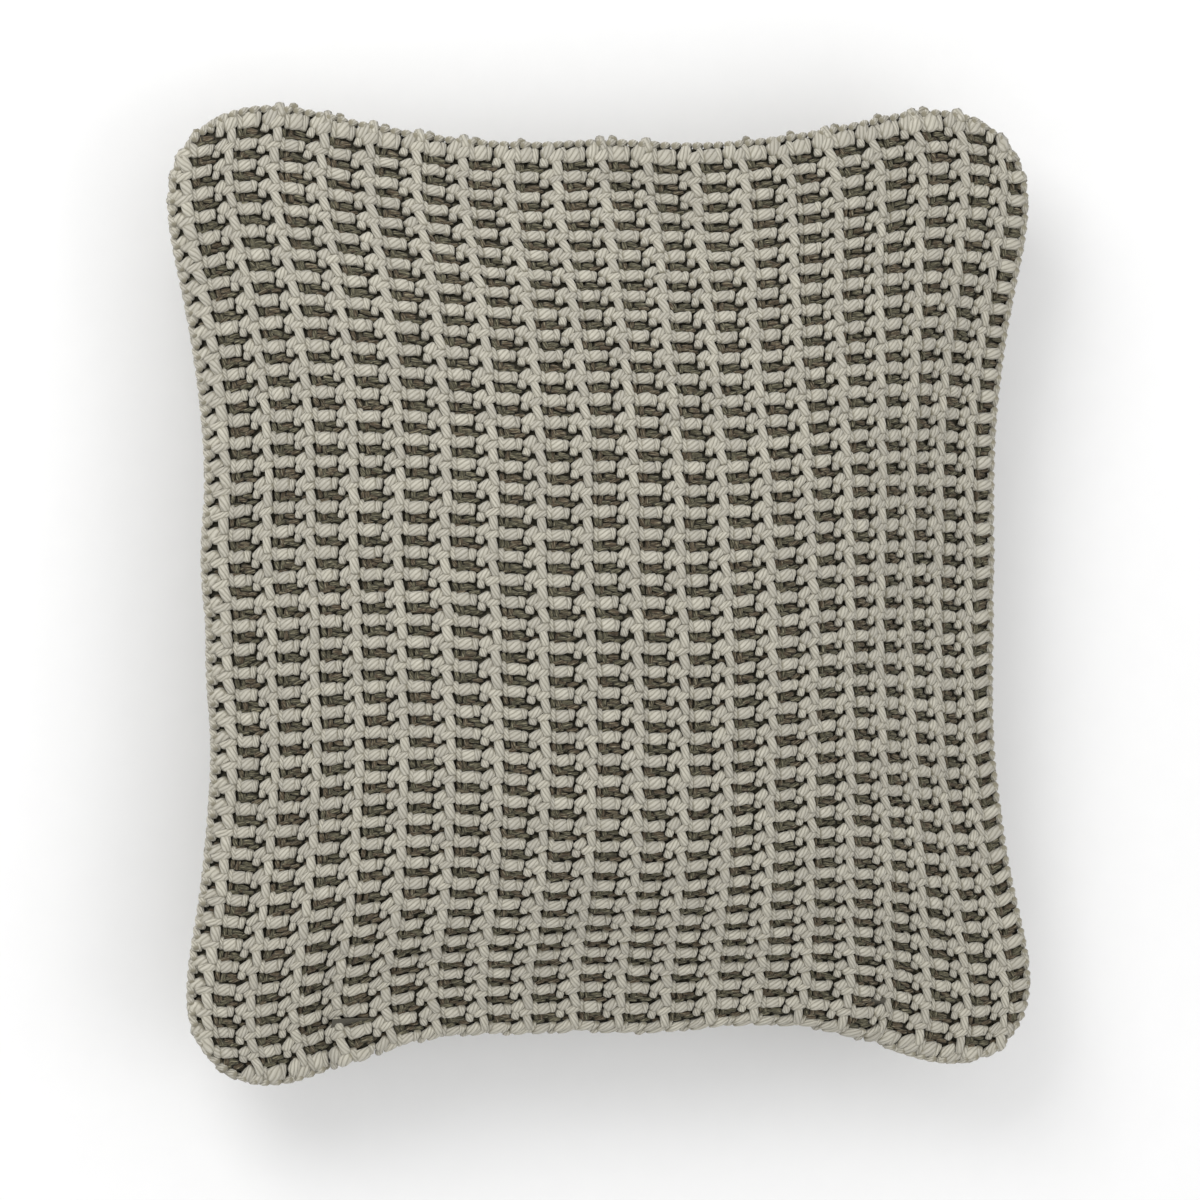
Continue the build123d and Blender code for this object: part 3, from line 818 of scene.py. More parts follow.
def strand_mesh(name):
    """A short blunt length of yarn, 1 long, 1 wide and 1 deep, with its own UV map."""
    sides, rings = STRAND_SIDES, len(STRAND_RINGS)
    points = []
    for along, fat in STRAND_RINGS:
        for k in range(sides):
            turn = 2 * math.pi * k / sides
            points.append((along / 2, fat / 2 * math.cos(turn),
                           fat / 2 * math.sin(turn) - 0.10 * along * along))
    points += [(-0.5, 0, -0.10), (0.5, 0, -0.10)]
    tail, head = len(points) - 2, len(points) - 1
    reach = [(along + 1) / 2 for along, _ in STRAND_RINGS]
    faces, corners = [], []
    for r in range(rings - 1):
        for k in range(sides):
            n = (k + 1) % sides
            faces.append((r * sides + k, r * sides + n, (r + 1) * sides + n, (r + 1) * sides + k))
            a, b, here, there = reach[r], reach[r + 1], k / sides, (k + 1) / sides
            corners += [(here, a), (there, a), (there, b), (here, b)]
    last = (rings - 1) * sides
    for k in range(sides):
        n = (k + 1) % sides
        here, there = k / sides, (k + 1) / sides
        faces.append((tail, n, k))
        corners += [(here, 0), (there, reach[0]), (here, reach[0])]
        faces.append((head, last + k, last + n))
        corners += [(here, 1), (here, reach[-1]), (there, reach[-1])]
    mesh = bpy.data.meshes.new(name)
    mesh.from_pydata(points, [], faces)
    layer = mesh.uv_layers.new(name=YARN_UV)
    for corner, uv in zip(layer.uv, corners):
        corner.vector = uv
    return mesh


def random_vector(tree, low, high, seed):
    """A random vector field."""
    made = add_node(tree, "FunctionNodeRandomValue", {0: low, 1: high, "Seed": seed},
                    data_type="FLOAT_VECTOR")
    return made.outputs[0]


def strand_copies(tree, group, points, strand, number):
    """Copies of one strand of the repeat, one on each point, each a little out of place."""
    across, along, height, length, width, depth, turn = strand
    seed = maths(tree, "ADD", group["Seed"], 10.0 * number)
    slack = scaled(tree, random_vector(tree, (-1, -1, -1), (1, 1, 1), seed), group["Slack"])
    home = (across * MM, along * MM, height * MM)
    moved = add_node(tree, "GeometryNodeSetPosition",
                     {0: points, "Offset": vector_maths(tree, "ADD", slack, home)})
    _, past = inside_panel(tree, group, add_node(tree, "GeometryNodeInputPosition").outputs[0])
    moved = add_node(tree, "GeometryNodeDeleteGeometry",
                     {0: moved.outputs[0], "Selection": maths(tree, "GREATER_THAN", past, 0.0)})
    spin = scaled(tree, random_vector(tree, (-0.6, -0.6, -1), (0.6, 0.6, 1),
                                      maths(tree, "ADD", seed, 1.0)), group["Turn"])
    lie = vector_maths(tree, "ADD", spin, (0.0, 0.0, math.radians(turn)))
    size = vector_maths(tree, "MULTIPLY",
                        random_vector(tree, (0.93, 0.92, 0.92), (1.07, 1.09, 1.08),
                                      maths(tree, "ADD", seed, 2.0)),
                        (length * MM, width * MM, depth * MM))
    shape = add_node(tree, "GeometryNodeObjectInfo", {"Object": group["Strand"]})
    copies = add_node(tree, "GeometryNodeInstanceOnPoints",
                      {"Points": moved.outputs[0], "Instance": shape.outputs["Geometry"],
                       "Rotation": lie, "Scale": size})
    tone = add_node(tree, "FunctionNodeRandomValue", {"Seed": maths(tree, "ADD", seed, 3.0)},
                    data_type="FLOAT")
    stored = add_node(tree, "GeometryNodeStoreNamedAttribute",
                      {0: copies.outputs[0], "Name": TONE, "Value": tone.outputs[1]},
                      data_type="FLOAT", domain="INSTANCE")
    return stored.outputs[0]


def inside_panel(tree, group, position):
    """A flat position drawn back to the rounded rim of the panel, and how far out it was."""
    radius = group["Corner Radius"]
    half = add_node(tree, "ShaderNodeCombineXYZ", {
        0: maths(tree, "SUBTRACT", maths(tree, "MULTIPLY", group["Width"], 0.5), radius),
        1: maths(tree, "SUBTRACT", maths(tree, "MULTIPLY", group["Length"], 0.5), radius)})
    flat = vector_maths(tree, "MULTIPLY", position, (1.0, 1.0, 0.0))
    size = vector_maths(tree, "ABSOLUTE", flat)
    past = vector_maths(tree, "MAXIMUM", vector_maths(tree, "SUBTRACT", size, half.outputs[0]))
    reach = add_node(tree, "ShaderNodeVectorMath", {0: past}, operation="LENGTH").outputs["Value"]
    limit = maths(tree, "SUBTRACT", radius, 1.0 * MM)
    factor = maths(tree, "MINIMUM", maths(tree, "DIVIDE", limit, maths(tree, "ADD", reach, 1e-6)), 1.0)
    drawn = vector_maths(tree, "ADD", vector_maths(tree, "MINIMUM", size, half.outputs[0]),
                         scaled(tree, past, factor))
    kept = vector_maths(tree, "MULTIPLY", drawn, vector_maths(tree, "SIGN", flat))
    return kept, maths(tree, "SUBTRACT", reach, limit)


def wrapped(tree, group, geometry):
    """Lay flat knitting on the stuffed form: its flat place says where, its height how far out."""
    real = add_node(tree, "GeometryNodeRealizeInstances", {0: geometry}).outputs[0]
    position = add_node(tree, "GeometryNodeInputPosition").outputs[0]
    wander = add_node(tree, "ShaderNodeTexNoise", {"Vector": position, "Scale": 14.0, "Detail": 2.0})
    centred = vector_maths(tree, "SUBTRACT", wander.outputs["Color"], (0.5, 0.5, 0.5))
    place_at = vector_maths(tree, "ADD", position, scaled(tree, centred, group["Drift"]))
    height = add_node(tree, "ShaderNodeSeparateXYZ", {0: position}).outputs[2]
    kept, _ = inside_panel(tree, group, place_at)
    size = add_node(tree, "ShaderNodeCombineXYZ", {0: group["Width"], 1: group["Length"], 2: 1.0})
    share = vector_maths(tree, "DIVIDE", kept, size.outputs[0])
    where = vector_maths(tree, "ADD", share, (0.5, 0.5, 0.0))
    surface = add_node(tree, "GeometryNodeObjectInfo", {"Object": group["Form"]})
    uv = add_node(tree, "GeometryNodeInputNamedAttribute", {"Name": FLAT_UV},
                  data_type="FLOAT_VECTOR")
    outward = add_node(tree, "GeometryNodeInputNamedAttribute", {"Name": OUTWARD},
                       data_type="FLOAT_VECTOR")
    found = []
    for value in (add_node(tree, "GeometryNodeInputPosition").outputs[0], outward.outputs[0]):
        sample = add_node(tree, "GeometryNodeSampleUVSurface",
                          {"Mesh": surface.outputs["Geometry"], "Value": value,
                           "Source UV Map": uv.outputs[0], "Sample UV": where},
                          data_type="FLOAT_VECTOR")
        found.append(sample.outputs[0])
    out = vector_maths(tree, "NORMALIZE", found[1])
    final = vector_maths(tree, "ADD", found[0], scaled(tree, out, height))
    return add_node(tree, "GeometryNodeSetPosition", {0: real, "Position": final}).outputs[0]


def knit_tree(name, strands, material):
    """Geometry tree of one colour of the knit: a lattice of repeats laid on a form."""
    tree, group = new_tree(name, [
        ("Form", "NodeSocketObject"), ("Strand", "NodeSocketObject"), ("Columns", "NodeSocketInt"),
        ("Rows", "NodeSocketInt"), ("Column Pitch", "NodeSocketFloat"),
        ("Row Pitch", "NodeSocketFloat"), ("Start", "NodeSocketVector"),
        ("Width", "NodeSocketFloat"), ("Length", "NodeSocketFloat"), ("Slack", "NodeSocketFloat"),
        ("Turn", "NodeSocketFloat"), ("Drift", "NodeSocketFloat"), ("Seed", "NodeSocketInt"),
        ("Corner Radius", "NodeSocketFloat"),
    ])
    span_x = maths(tree, "MULTIPLY", maths(tree, "SUBTRACT", group["Columns"], 1.0), group["Column Pitch"])
    span_y = maths(tree, "MULTIPLY", maths(tree, "SUBTRACT", group["Rows"], 1.0), group["Row Pitch"])
    lattice = add_node(tree, "GeometryNodeMeshGrid",
                       {"Size X": span_x, "Size Y": span_y, "Vertices X": group["Columns"],
                        "Vertices Y": group["Rows"]})
    points = add_node(tree, "GeometryNodeSetPosition", {0: lattice.outputs[0], "Offset": group["Start"]})
    joined = tree.nodes.new("GeometryNodeJoinGeometry")
    for number, strand in enumerate(strands):
        copies = strand_copies(tree, group, points.outputs[0], strand, number)
        tree.links.new(copies, joined.inputs[0])
    close_tree(tree, wrapped(tree, group, joined.outputs[0]), material)
    return tree


def knit_panel(side_name, form_object, yarn, tree, parts, scene, slot):
    """One panel's stitches in one colour, in a few bands of rows. Returns the pieces."""
    form, knit = scene.pillow_form, scene.pillow_knit
    column_pitch = form.flat_width / knit.columns
    row_pitch = form.flat_length / knit.rows
    shift_x, shift_y = REPEAT_SHIFT
    looseness = DARK_LOOSENESS if yarn == "dark" else 1.0
    pieces = []
    for part in range(parts):
        first = part * knit.rows // parts
        count = (part + 1) * knit.rows // parts - first
        middle = ((first + (count - 1) / 2 + 0.5) / knit.rows - 0.5) * form.flat_length
        piece = grow(f"knit_{side_name}_{yarn}_{part + 1}", tree, {
            "Form": form_object, "Strand": bpy.data.objects["strand_of_yarn"],
            "Columns": knit.columns, "Rows": count, "Column Pitch": column_pitch,
            "Row Pitch": row_pitch, "Start": (shift_x, middle + shift_y, 0.0),
            "Width": form.flat_width, "Length": form.flat_length,
            "Slack": knit.slack * looseness, "Turn": knit.turn * looseness, "Drift": knit.drift,
            "Corner Radius": form.corner_radius,
            "Seed": knit.seed + 1000 * part + (500 if side_name == "back" else 0),
        })
        fasten(piece, slot)
        pieces.append(piece)
    return pieces


def solid_sheet(name, grid_object, inward, thickness, material):
    """A closed thin sheet that follows a panel of the form, `inward` under its surface."""
    source = grid_object.data
    count = len(source.vertices)
    points, normals = np.empty(count * 3), np.empty(count * 3)
    source.vertices.foreach_get("co", points)
    source.attributes[OUTWARD].data.foreach_get("vector", normals)
    points, normals = points.reshape(-1, 3), normals.reshape(-1, 3)
    top = points - normals * inward
    bottom = top - normals * thickness
    faces = [tuple(p.vertices) for p in source.polygons]
    under = [tuple(count + v for v in reversed(f)) for f in faces]
    edges = {}
    for f in faces:
        for a, b in zip(f, f[1:] + f[:1]):
            edges[a, b] = True
    rim = [(b, a, count + a, count + b) for a, b in edges if (b, a) not in edges]
    mesh = bpy.data.meshes.new(name)
    mesh.from_pydata(np.concatenate([top, bottom]).tolist(), [], faces + under + rim)
    mesh.polygons.foreach_set("use_smooth", [True] * len(mesh.polygons))
    mesh.materials.append(material)
    mesh.update()
    return place(name, mesh)


def ground_material(colours):
    """Shaded inside of the knit, seen through the gaps between stitches."""
    # Painted shade: the dark yarn's colour taken down to 0.45, for the inside seen through the gaps.
    dark = [c * 0.45 for c in colours.dark]
    return weave_material("Marl ground of the knit in painted shade", dark, 3.0 * MM, 0.95, 0.0)


class PILLOW_OT_cover(bpy.types.Operator):
    """Knit the two panels of the cover over the stuffed form"""

    bl_idname = "pillow.cover"
    bl_label = "Knitted cover"

    def execute(self, context):
        scene = context.scene
        form, colours = scene.pillow_form, scene.pillow_colours
        place("strand_of_yarn", strand_mesh("strand_of_yarn"))
        light = knit_tree("Light rows", LIGHT_STRANDS, light_yarn_material(colours))
        dark = knit_tree("Dark rows", DARK_STRANDS, dark_yarn_material(colours))
        ground = ground_material(colours)
        for side_name in ("front", "back"):
            panel = bpy.data.objects["form_" + side_name]
            sheet = solid_sheet("ground_" + side_name, panel, GROUND_INWARD, GROUND_THICKNESS,
                                ground)
            fasten(sheet, "knit_cover", f"cover_{side_name}_panel")
            pieces = knit_panel(side_name, panel, "light", light, LIGHT_PARTS, scene, "knit_cover")
            pieces += knit_panel(side_name, panel, "dark", dark, DARK_PARTS, scene, "knit_cover")
        return {"FINISHED"}


# ---- Seams -----------------------------------------------------------------------------------
def rim_line(front, back, row=None, column=None):
    """Middle line between the two panels along one edge of the form, and its outward vectors."""
    pick = (row, slice(None)) if row is not None else (slice(None), column)
    line = (front[0][pick] + back[0][pick]) / 2
    out = front[1][pick] + back[1][pick]
    return line, out / np.linalg.norm(out, axis=-1, keepdims=True)


def form_grid(name):
    """Points and outward vectors of a form panel, as grids."""
    mesh = bpy.data.objects[name].data
    count = len(mesh.vertices)
    points, normals = np.empty(count * 3), np.empty(count * 3)
    mesh.vertices.foreach_get("co", points)
    mesh.attributes[OUTWARD].data.foreach_get("vector", normals)
    shape = (CELLS_Y + 1, CELLS_X + 1, 3)
    return points.reshape(shape), normals.reshape(shape)


RANDOM_MIN = 2  # number of the random node's lower limit for one value
SEAM_OUT = 1.4 * MM  # rim of the form out to the middle of the seam's yarn
SEAM_STEP = 5.6 * MM
SEAM_LENGTH = 8.6 * MM
SEAM_WIDTH = 4.0 * MM
SEAM_SLANT = math.radians(52)


def seam_tree(material):
    """Geometry tree of a mattress seam: a slanted bar of yarn at every step of a line."""
    tree, group = new_tree("Yarn seam", [
        ("Line", "NodeSocketObject"), ("Strand", "NodeSocketObject"), ("Step", "NodeSocketFloat"),
        ("Length", "NodeSocketFloat"), ("Width", "NodeSocketFloat"), ("Slant", "NodeSocketFloat"),
        ("Turn", "NodeSocketFloat"), ("Seed", "NodeSocketInt")])
    line = add_node(tree, "GeometryNodeObjectInfo", {"Object": group["Line"]}).outputs["Geometry"]
    curve = add_node(tree, "GeometryNodeMeshToCurve", {0: line}).outputs[0]
    steps = add_node(tree, "GeometryNodeCurveToPoints", {"Curve": curve, "Length": group["Step"]},
                     mode="LENGTH")
    outward = add_node(tree, "GeometryNodeInputNamedAttribute", {"Name": OUTWARD},
                       data_type="FLOAT_VECTOR").outputs[0]
    facing = add_node(tree, "FunctionNodeAlignRotationToVector", {"Vector": outward}, axis="Z")
    along = add_node(tree, "FunctionNodeAlignRotationToVector",
                     {"Rotation": facing.outputs[0], "Vector": steps.outputs["Tangent"]},
                     axis="X", pivot_axis="Z")
    wobble = add_node(tree, "FunctionNodeRandomValue", {RANDOM_MIN: -1.0, "Seed": group["Seed"]},
                      data_type="FLOAT")
    spin = maths(tree, "ADD", group["Slant"],
                 maths(tree, "MULTIPLY", wobble.outputs[1], group["Turn"]))
    turned = add_node(tree, "FunctionNodeRotateRotation",
                      {"Rotation": along.outputs[0],
                       "Rotate By": add_node(tree, "ShaderNodeCombineXYZ", {2: spin}).outputs[0]},
                      rotation_space="LOCAL")
    shape = add_node(tree, "GeometryNodeObjectInfo", {"Object": group["Strand"]})
    size = add_node(tree, "ShaderNodeCombineXYZ",
                    {0: group["Length"], 1: group["Width"], 2: group["Width"]}).outputs[0]
    copies = add_node(tree, "GeometryNodeInstanceOnPoints",
                      {"Points": steps.outputs["Points"], "Instance": shape.outputs["Geometry"],
                       "Rotation": turned.outputs[0], "Scale": size})
    tone = add_node(tree, "FunctionNodeRandomValue", {"Seed": group["Seed"]}, data_type="FLOAT")
    stored = add_node(tree, "GeometryNodeStoreNamedAttribute",
                      {0: copies.outputs[0], "Name": TONE, "Value": tone.outputs[1]},
                      data_type="FLOAT", domain="INSTANCE")
    close_tree(tree, stored.outputs[0], material)
    return tree


def line_object(name, points, normals):
    """A line of points with outward vectors, as a mesh of edges."""
    mesh = bpy.data.meshes.new(name)
    mesh.from_pydata(points.tolist(), [(i, i + 1) for i in range(len(points) - 1)], [])
    outward = mesh.attributes.new(OUTWARD, "FLOAT_VECTOR", "POINT")
    outward.data.foreach_set("vector", normals.ravel())
    return place(name, mesh)


class PILLOW_OT_seams(bpy.types.Operator):
    """Sew the panels together with yarn along every edge but the zip's"""

    bl_idname = "pillow.seams"
    bl_label = "Yarn seams"

    def execute(self, context):
        knit = context.scene.pillow_knit
        front, back = form_grid("form_front"), form_grid("form_back")
        tree = seam_tree(bpy.data.materials["Ecru plied yarn"])
        zip_end = (TAPE_HIGH.x - TAPE_LOW.x) / 2
        bottom, bottom_out = rim_line(front, back, row=0)
        left = bottom[:, 0] < -zip_end
        right = bottom[:, 0] > zip_end
        runs = {
            "seam_top": rim_line(front, back, row=CELLS_Y),
            "seam_left": rim_line(front, back, column=0),
            "seam_right": rim_line(front, back, column=CELLS_X),
            "seam_bottom_left": (bottom[left], bottom_out[left]),
            "seam_bottom_right": (bottom[right], bottom_out[right]),
        }
        for number, (name, (points, normals)) in enumerate(runs.items()):
            line = line_object(name + "_line", points + normals * SEAM_OUT, normals)
            piece = grow(name + "_yarn", tree, {
                "Line": line, "Strand": bpy.data.objects["strand_of_yarn"], "Step": SEAM_STEP,
                "Length": SEAM_LENGTH, "Width": SEAM_WIDTH, "Slant": SEAM_SLANT,
                "Turn": knit.turn, "Seed": knit.seed + number})
            fasten(piece, "seam_yarn", name)
            bpy.data.objects.remove(line)
        return {"FINISHED"}


# ---- Insert ----------------------------------------------------------------------------------
FILLING_INWARD = 4.0 * MM  # casing's surface in to the filling's


def closed_form(name, inward, material, lumps=0.0):
    """A closed pad that follows the form, `inward` under it, with optional soft lumps."""
    front, back = form_grid("form_front"), form_grid("form_back")
    low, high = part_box("insert_casing_back")[0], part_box("insert_casing_front")[1]
    points, faces = [], []
    for (grid, _), side in ((front, 1), (back, -1)):
        moved = grid.copy()
        span = np.array([high.x, high.y]) - inward
        scale = span / np.abs(grid[..., :2]).reshape(-1, 2).max(axis=0)
        moved[..., :2] *= scale
        height = moved[..., 2] - SEAM_Z
        top = (high.z - SEAM_Z if side > 0 else SEAM_Z - low.z) - inward
        height = height * top / np.abs(height).max()
        if lumps:
            ripple = np.sin(moved[..., 0] * 95) * np.sin(moved[..., 1] * 83 + 1.3)
            height *= 1 - lumps * (1 + ripple) / 2
        moved[..., 2] = SEAM_Z + height
        moved[0, :, 2] = moved[-1, :, 2] = SEAM_Z
        moved[:, 0, 2] = moved[:, -1, 2] = SEAM_Z
        faces.append(grid_faces(side) + len(points) * moved[..., 0].size)
        points.append(moved.reshape(-1, 3))
    mesh = bpy.data.meshes.new(name)
    mesh.from_pydata(np.concatenate(points).tolist(), [], np.concatenate(faces).tolist())
    piece = place(name, mesh)
    weld(mesh)
    mesh.materials.append(material)
    mesh.polygons.foreach_set("use_smooth", [True] * len(mesh.polygons))
    return piece


def weld(mesh):
    """Join the points that lie together and turn every face outwards."""
    work = bmesh.new()
    work.from_mesh(mesh)
    bmesh.ops.remove_doubles(work, verts=work.verts, dist=0.05 * MM)
    bmesh.ops.recalc_face_normals(work, faces=work.faces)
    work.to_mesh(mesh)
    work.free()


class PILLOW_OT_insert(bpy.types.Operator):
    """Put the cotton-cased pad inside the cover"""

    bl_idname = "pillow.insert"
    bl_label = "Insert"

    def execute(self, context):
        colours = context.scene.pillow_colours
        cotton = weave_material("Cotton casing", colours.casing, 0.6 * MM)
        fibre = weave_material("Polyester fibre", (0.86, 0.86, 0.85), 2.2 * MM, 0.95, 0.4)
        pad = closed_form("insert_pad", 0.0, cotton)
        fasten(pad, "insert_casing", "insert_casing_front", "insert_casing_back")
        filling = closed_form("insert_filling", FILLING_INWARD, fibre, lumps=0.05)
        fasten(filling, "fibre_fill", "fibre_fill")
        return {"FINISHED"}


# ---- Zip and labels --------------------------------------------------------------------------
LABEL_FLAT = (25 * MM, 47 * MM)  # woven label: along the side seam, in from the seam
LABEL_GAP = 2.2 * MM  # surface of the form in to the label
LABEL_THICKNESS = 0.3 * MM
LABEL_STEPS = (8, 10)  # cells along the seam and in from it


def label_cloth(name, node, side, material):
    """A blank satin label that hangs from the side seam inside the back panel."""
    points, normals = form_grid("form_back")
    low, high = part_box(node)
    start = (low.y + high.y - LABEL_FLAT[0]) / 2
    row = int(np.abs(points[:, 0, 1] - (low.y + high.y) / 2).argmin())
    line, away = points[row], normals[row]
    if side > 0:
        line, away = line[::-1], away[::-1]
    reach = np.concatenate([[0.0], np.linalg.norm(np.diff(line, axis=0), axis=1).cumsum()])
    steps = np.linspace(0.0, LABEL_FLAT[1], LABEL_STEPS[1] + 1) + reach[1]
    sample = [np.stack([np.interp(steps, reach, data[:, k]) for k in range(3)], axis=-1)
              for data in (line, away)]
    along = np.linspace(start, start + LABEL_FLAT[0], LABEL_STEPS[0] + 1)
    layers = []
    for gap in (LABEL_GAP, LABEL_GAP + LABEL_THICKNESS):
        strip = sample[0] - sample[1] * gap
        sheet = np.repeat(strip[None], len(along), axis=0)
        sheet[..., 1] = along[:, None]
        layers.append(sheet.reshape(-1, 3))
    width, height = LABEL_STEPS[1] + 1, LABEL_STEPS[0] + 1
    count = width * height
    rim = [*range(width), *range(2 * width - 1, count, width),
           *range(count - 2, count - width - 1, -1), *range(count - 2 * width, 0, -width)]
    faces = []
    for i in range(height - 1):
        for j in range(width - 1):
            a = i * width + j
            quad = (a, a + 1, a + width + 1, a + width)
            faces += [tuple(reversed(quad)), tuple(count + k for k in quad)]
    for a, b in zip(rim, rim[1:] + rim[:1]):
        faces.append((a, b, count + b, count + a))
    mesh = bpy.data.meshes.new(name)
    mesh.from_pydata(np.concatenate(layers).tolist(), [], faces)
    weld(mesh)
    mesh.materials.append(material)
    piece = place(name, mesh)
    fasten(piece, "label", node)


COIL_PITCH = 1.5 * MM
COIL_STRAND = 0.32 * MM  # radius of the nylon strand


def coil_turn():
    """One turn of a zip coil's nylon strand, as a short closed tube."""
    depth = (COIL_HIGH.y - COIL_LOW.y) / 2 - COIL_STRAND
    reach = (COIL_HIGH.z - COIL_LOW.z) / 2 - COIL_STRAND
    steps, sides = 10, 4
    points = []
    for step in range(steps + 1):
        turn = 2 * math.pi * step / steps
        out = np.array([0.0, math.cos(turn), math.sin(turn)])
        centre = out * (1, depth, reach) + (COIL_PITCH * (step / steps - 0.5), 0, 0)
        for k in range(sides):
            lean = 2 * math.pi * (k + 0.5) / sides
            points.append(centre + COIL_STRAND * (out * math.cos(lean) + (math.sin(lean), 0, 0)))
    faces = []
    for step in range(steps):
        for k in range(sides):
            a, b = step * sides + k, step * sides + (k + 1) % sides
            faces.append((a, b, b + sides, a + sides))
    last = steps * sides
    faces += [(3, 2, 1, 0), (last, last + 1, last + 2, last + 3)]
    mesh = bpy.data.meshes.new("coil_turn")
    mesh.from_pydata([tuple(point) for point in points], [], faces)
    return mesh


def coil_tree(material):
    """Geometry tree of a coil: one turn repeated along a line."""
    tree, group = new_tree("Zip coil", [
        ("Turn", "NodeSocketObject"), ("Count", "NodeSocketInt"), ("Start", "NodeSocketVector"),
        ("Pitch", "NodeSocketFloat")])
    step = add_node(tree, "ShaderNodeCombineXYZ", {0: group["Pitch"]}).outputs[0]
    line = add_node(tree, "GeometryNodeMeshLine",
                    {"Count": group["Count"], "Start Location": group["Start"], "Offset": step})
    shape = add_node(tree, "GeometryNodeObjectInfo", {"Object": group["Turn"]})
    copies = add_node(tree, "GeometryNodeInstanceOnPoints",
                      {"Points": line.outputs[0], "Instance": shape.outputs["Geometry"]})
    close_tree(tree, copies.outputs[0], material)
    return tree


class PILLOW_OT_coils(bpy.types.Operator):
    """Wind the two nylon coils of the zip"""

    bl_idname = "pillow.coils"
    bl_label = "Zip coils"

    def execute(self, context):
        turn = place("coil_turn", coil_turn())
        tree = coil_tree(nylon_material())
        for node in ("zip_coil_front", "zip_coil_back"):
            low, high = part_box(node)
            count = int((high.x - low.x) / COIL_PITCH)
            start = ((low.x + high.x - (count - 1) * COIL_PITCH) / 2, (low.y + high.y) / 2,
                     (low.z + high.z) / 2)
            piece = grow(node + "_turns", tree, {"Turn": turn, "Count": count, "Start": start,
                                                 "Pitch": COIL_PITCH})
            fasten(piece, "zip_coil", node)
        bpy.data.objects.remove(turn)
        return {"FINISHED"}


class PILLOW_OT_labels(bpy.types.Operator):
    """Hang the two blank labels inside the cover"""

    bl_idname = "pillow.labels"
    bl_label = "Labels"

    def execute(self, context):
        satin = weave_material("Blank satin label", (0.86, 0.86, 0.84), 0.35 * MM, 0.45, 0.2)
        label_cloth("care_label_cloth", "care_label", -1, satin)
        label_cloth("insert_label_cloth", "insert_label", 1, satin)
        return {"FINISHED"}


class PILLOW_OT_trim(bpy.types.Operator):
    """Give the zip's plain parts and the sewing their finishes"""

    bl_idname = "pillow.trim"
    bl_label = "Zip and sewing"

    def execute(self, context):
        colours = context.scene.pillow_colours
        finishes = {
            weave_material("Woven zip tape", colours.tape, 0.9 * MM):
                ("zip_tape_front", "zip_tape_back"),
            metal_material(): ("zip_slider", "zip_pull_tab", "zip_top_stops", "zip_bottom_stop"),
            thread_material(): ("zip_stitching_front", "zip_stitching_back", "insert_seam",
                                "insert_closing_seam"),
        }
        for material, nodes in finishes.items():
            for name in nodes:
                mesh = bpy.data.objects[name].data
                mesh.materials.clear()
                mesh.materials.append(material)
        return {"FINISHED"}


# ---- Stage -----------------------------------------------------------------------------------
FLOOR_HALF = 6.0
FLOOR_GAP = 0.5 * MM
AIM_OFFSET = (-0.006, 0.0, 0.010)  # middle of the seam plane to the point the camera faces


def look(source, target, up):
    """Rotation of a camera or light at `source` that faces `target`."""
    back = np.array(source) - np.array(target)
    back /= np.linalg.norm(back)
    right = np.cross(up, back)
    right /= np.linalg.norm(right)
    upright = np.cross(back, right)
    return Matrix(np.stack([right, upright, back], axis=1).tolist()).to_euler()


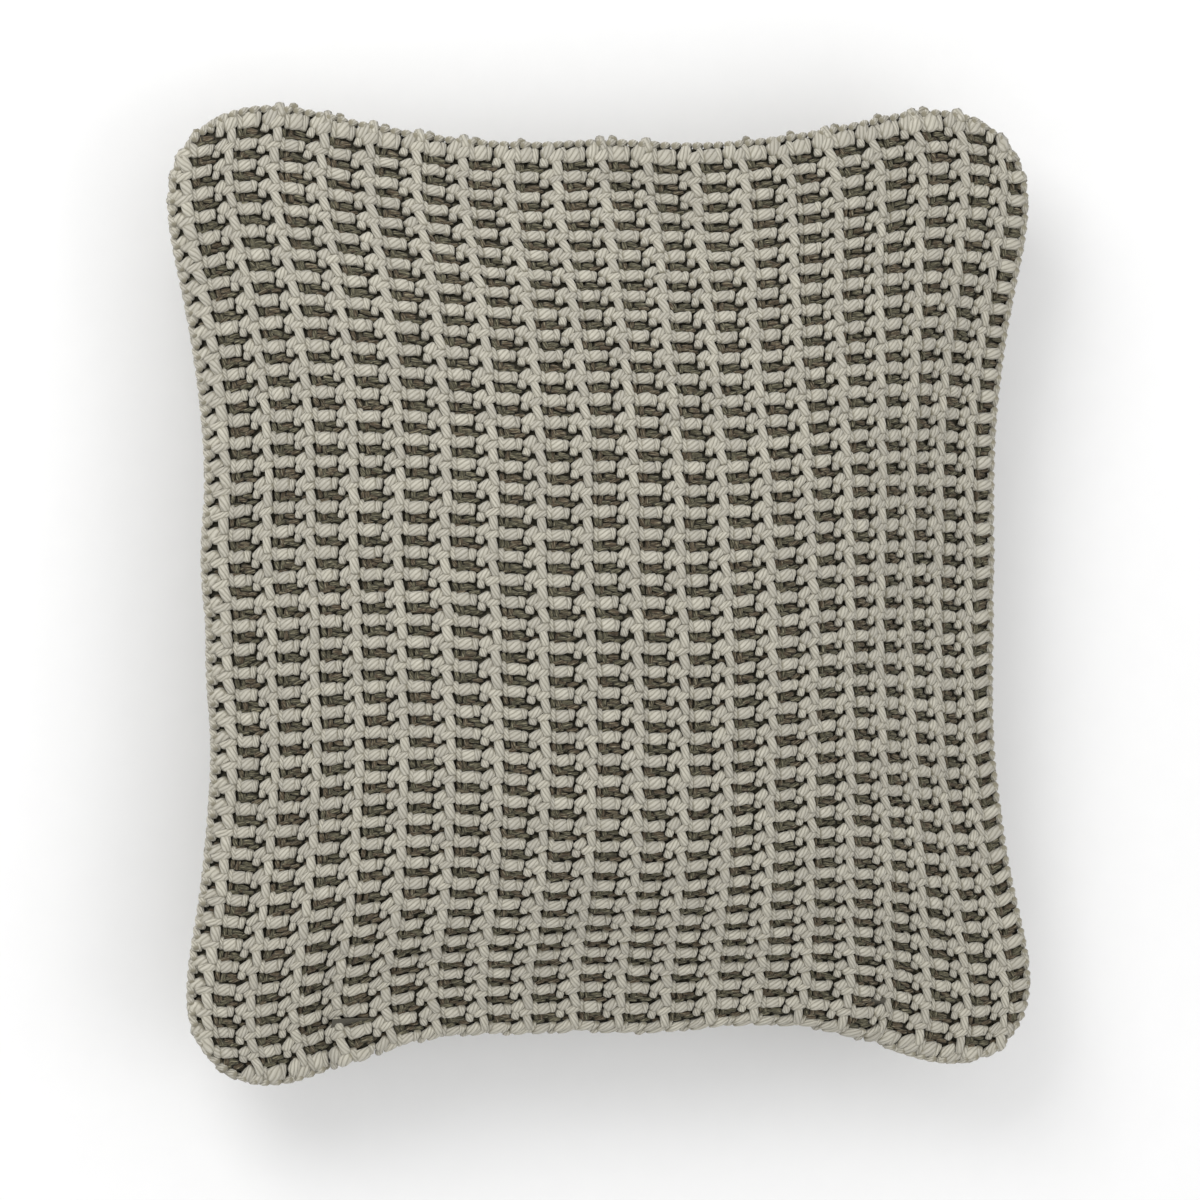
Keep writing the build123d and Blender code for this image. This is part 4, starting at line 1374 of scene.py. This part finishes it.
class PILLOW_OT_stage(bpy.types.Operator):
    """Lay the floor, light it softly and set the camera"""

    bl_idname = "pillow.stage"
    bl_label = "Stage"

    def execute(self, context):
        scene = context.scene
        stage = scene.pillow_stage
        size, z = FLOOR_HALF, CAD_LOW.z - FLOOR_GAP
        mesh = bpy.data.meshes.new("floor")
        mesh.from_pydata([(-size, -size, z), (size, -size, z), (size, size, z), (-size, size, z)],
                         [], [(0, 1, 2, 3)])
        floor = place("floor", mesh)
        material, tree, shader = new_material("Pale floor", (0.90, 0.90, 0.90), 0.9)
        where = add_node(tree, "ShaderNodeTexCoord").outputs["Object"]
        grain = add_node(tree, "ShaderNodeTexNoise", {"Vector": where, "Scale": 60.0}).outputs["Fac"]
        tree.links.new(mix(tree, grain, (0.90, 0.90, 0.90), (0.92, 0.92, 0.92)),
                       shader.inputs["Base Color"])
        mesh.materials.append(material)

        world = bpy.data.worlds.new("soft surround")
        world.use_nodes = True
        world.node_tree.nodes["Background"].inputs["Color"].default_value = (1.0, 1.0, 1.0, 1.0)
        world.node_tree.nodes["Background"].inputs["Strength"].default_value = stage.sky
        scene.world = world
        centre = (CAD_LOW + CAD_HIGH) / 2
        for name, at, power, width in (
            ("key_light", (-1.1, 1.2, 1.6), stage.key, 1.1),
            ("fill_light", (1.5, -0.4, 1.9), stage.key * 0.35, 1.6),
        ):
            data = bpy.data.lights.new(name, "AREA")
            data.energy = power
            data.size = width
            lamp = bpy.data.objects.new(name, data)
            lamp.location = at
            lamp.rotation_euler = look(at, centre, (0, 0.1, 1))
            scene.collection.objects.link(lamp)

        lens = bpy.data.cameras.new("camera")
        lens.sensor_width = 36.0
        lens.lens = lens.sensor_width * stage.distance / stage.across
        camera = bpy.data.objects.new("camera", lens)
        lean_x, lean_y = math.sin(stage.from_left), math.sin(stage.from_top)
        back = np.array([-lean_x, lean_y, math.sqrt(1 - lean_x ** 2 - lean_y ** 2)])
        aim = np.array(AIM_OFFSET) + (0.0, 0.0, SEAM_Z)
        camera.location = aim + back * stage.distance
        camera.rotation_euler = look(camera.location, aim, (0, 1, 0))
        scene.collection.objects.link(camera)
        scene.camera = camera
        scene.view_settings.view_transform = "Standard"
        return {"FINISHED"}


class PILLOW_OT_clear_forms(bpy.types.Operator):
    """Take away the forms that the pieces were laid on"""

    bl_idname = "pillow.clear_forms"
    bl_label = "Clear forms"

    def execute(self, context):
        for name in ("form_front", "form_back", "strand_of_yarn"):
            bpy.data.objects.remove(bpy.data.objects[name])
        return {"FINISHED"}


class PILLOW_PT_panel(bpy.types.Panel):
    """Steps that build the pillow, in order"""

    bl_label = "Pillow"
    bl_idname = "PILLOW_PT_panel"
    bl_space_type = "VIEW_3D"
    bl_region_type = "UI"
    bl_category = "Pillow"

    def draw(self, context):
        for name in SETTINGS:
            box = self.layout.box()
            settings = getattr(context.scene, name)
            for key in settings.__annotations__:
                box.prop(settings, key)
        for operator in STEPS:
            self.layout.operator(operator.bl_idname)


STEPS = (PILLOW_OT_stage, PILLOW_OT_form, PILLOW_OT_cover, PILLOW_OT_seams, PILLOW_OT_insert,
         PILLOW_OT_coils, PILLOW_OT_labels, PILLOW_OT_trim, PILLOW_OT_clear_forms)
CLASSES = (*SETTINGS.values(), *STEPS, PILLOW_PT_panel)


def register():
    """Add the classes and the scene's settings."""
    for cls in CLASSES:
        bpy.utils.register_class(cls)
    for name, cls in SETTINGS.items():
        setattr(bpy.types.Scene, name, bpy.props.PointerProperty(type=cls))


def unregister():
    """Take the settings and the classes away again."""
    for name in SETTINGS:
        delattr(bpy.types.Scene, name)
    for cls in reversed(CLASSES):
        bpy.utils.unregister_class(cls)


def main():
    """Build the whole pillow."""
    register()
    for operator in STEPS:
        group, name = operator.bl_idname.split(".")
        getattr(getattr(bpy.ops, group), name)()


if __name__ == "__main__":
    main()
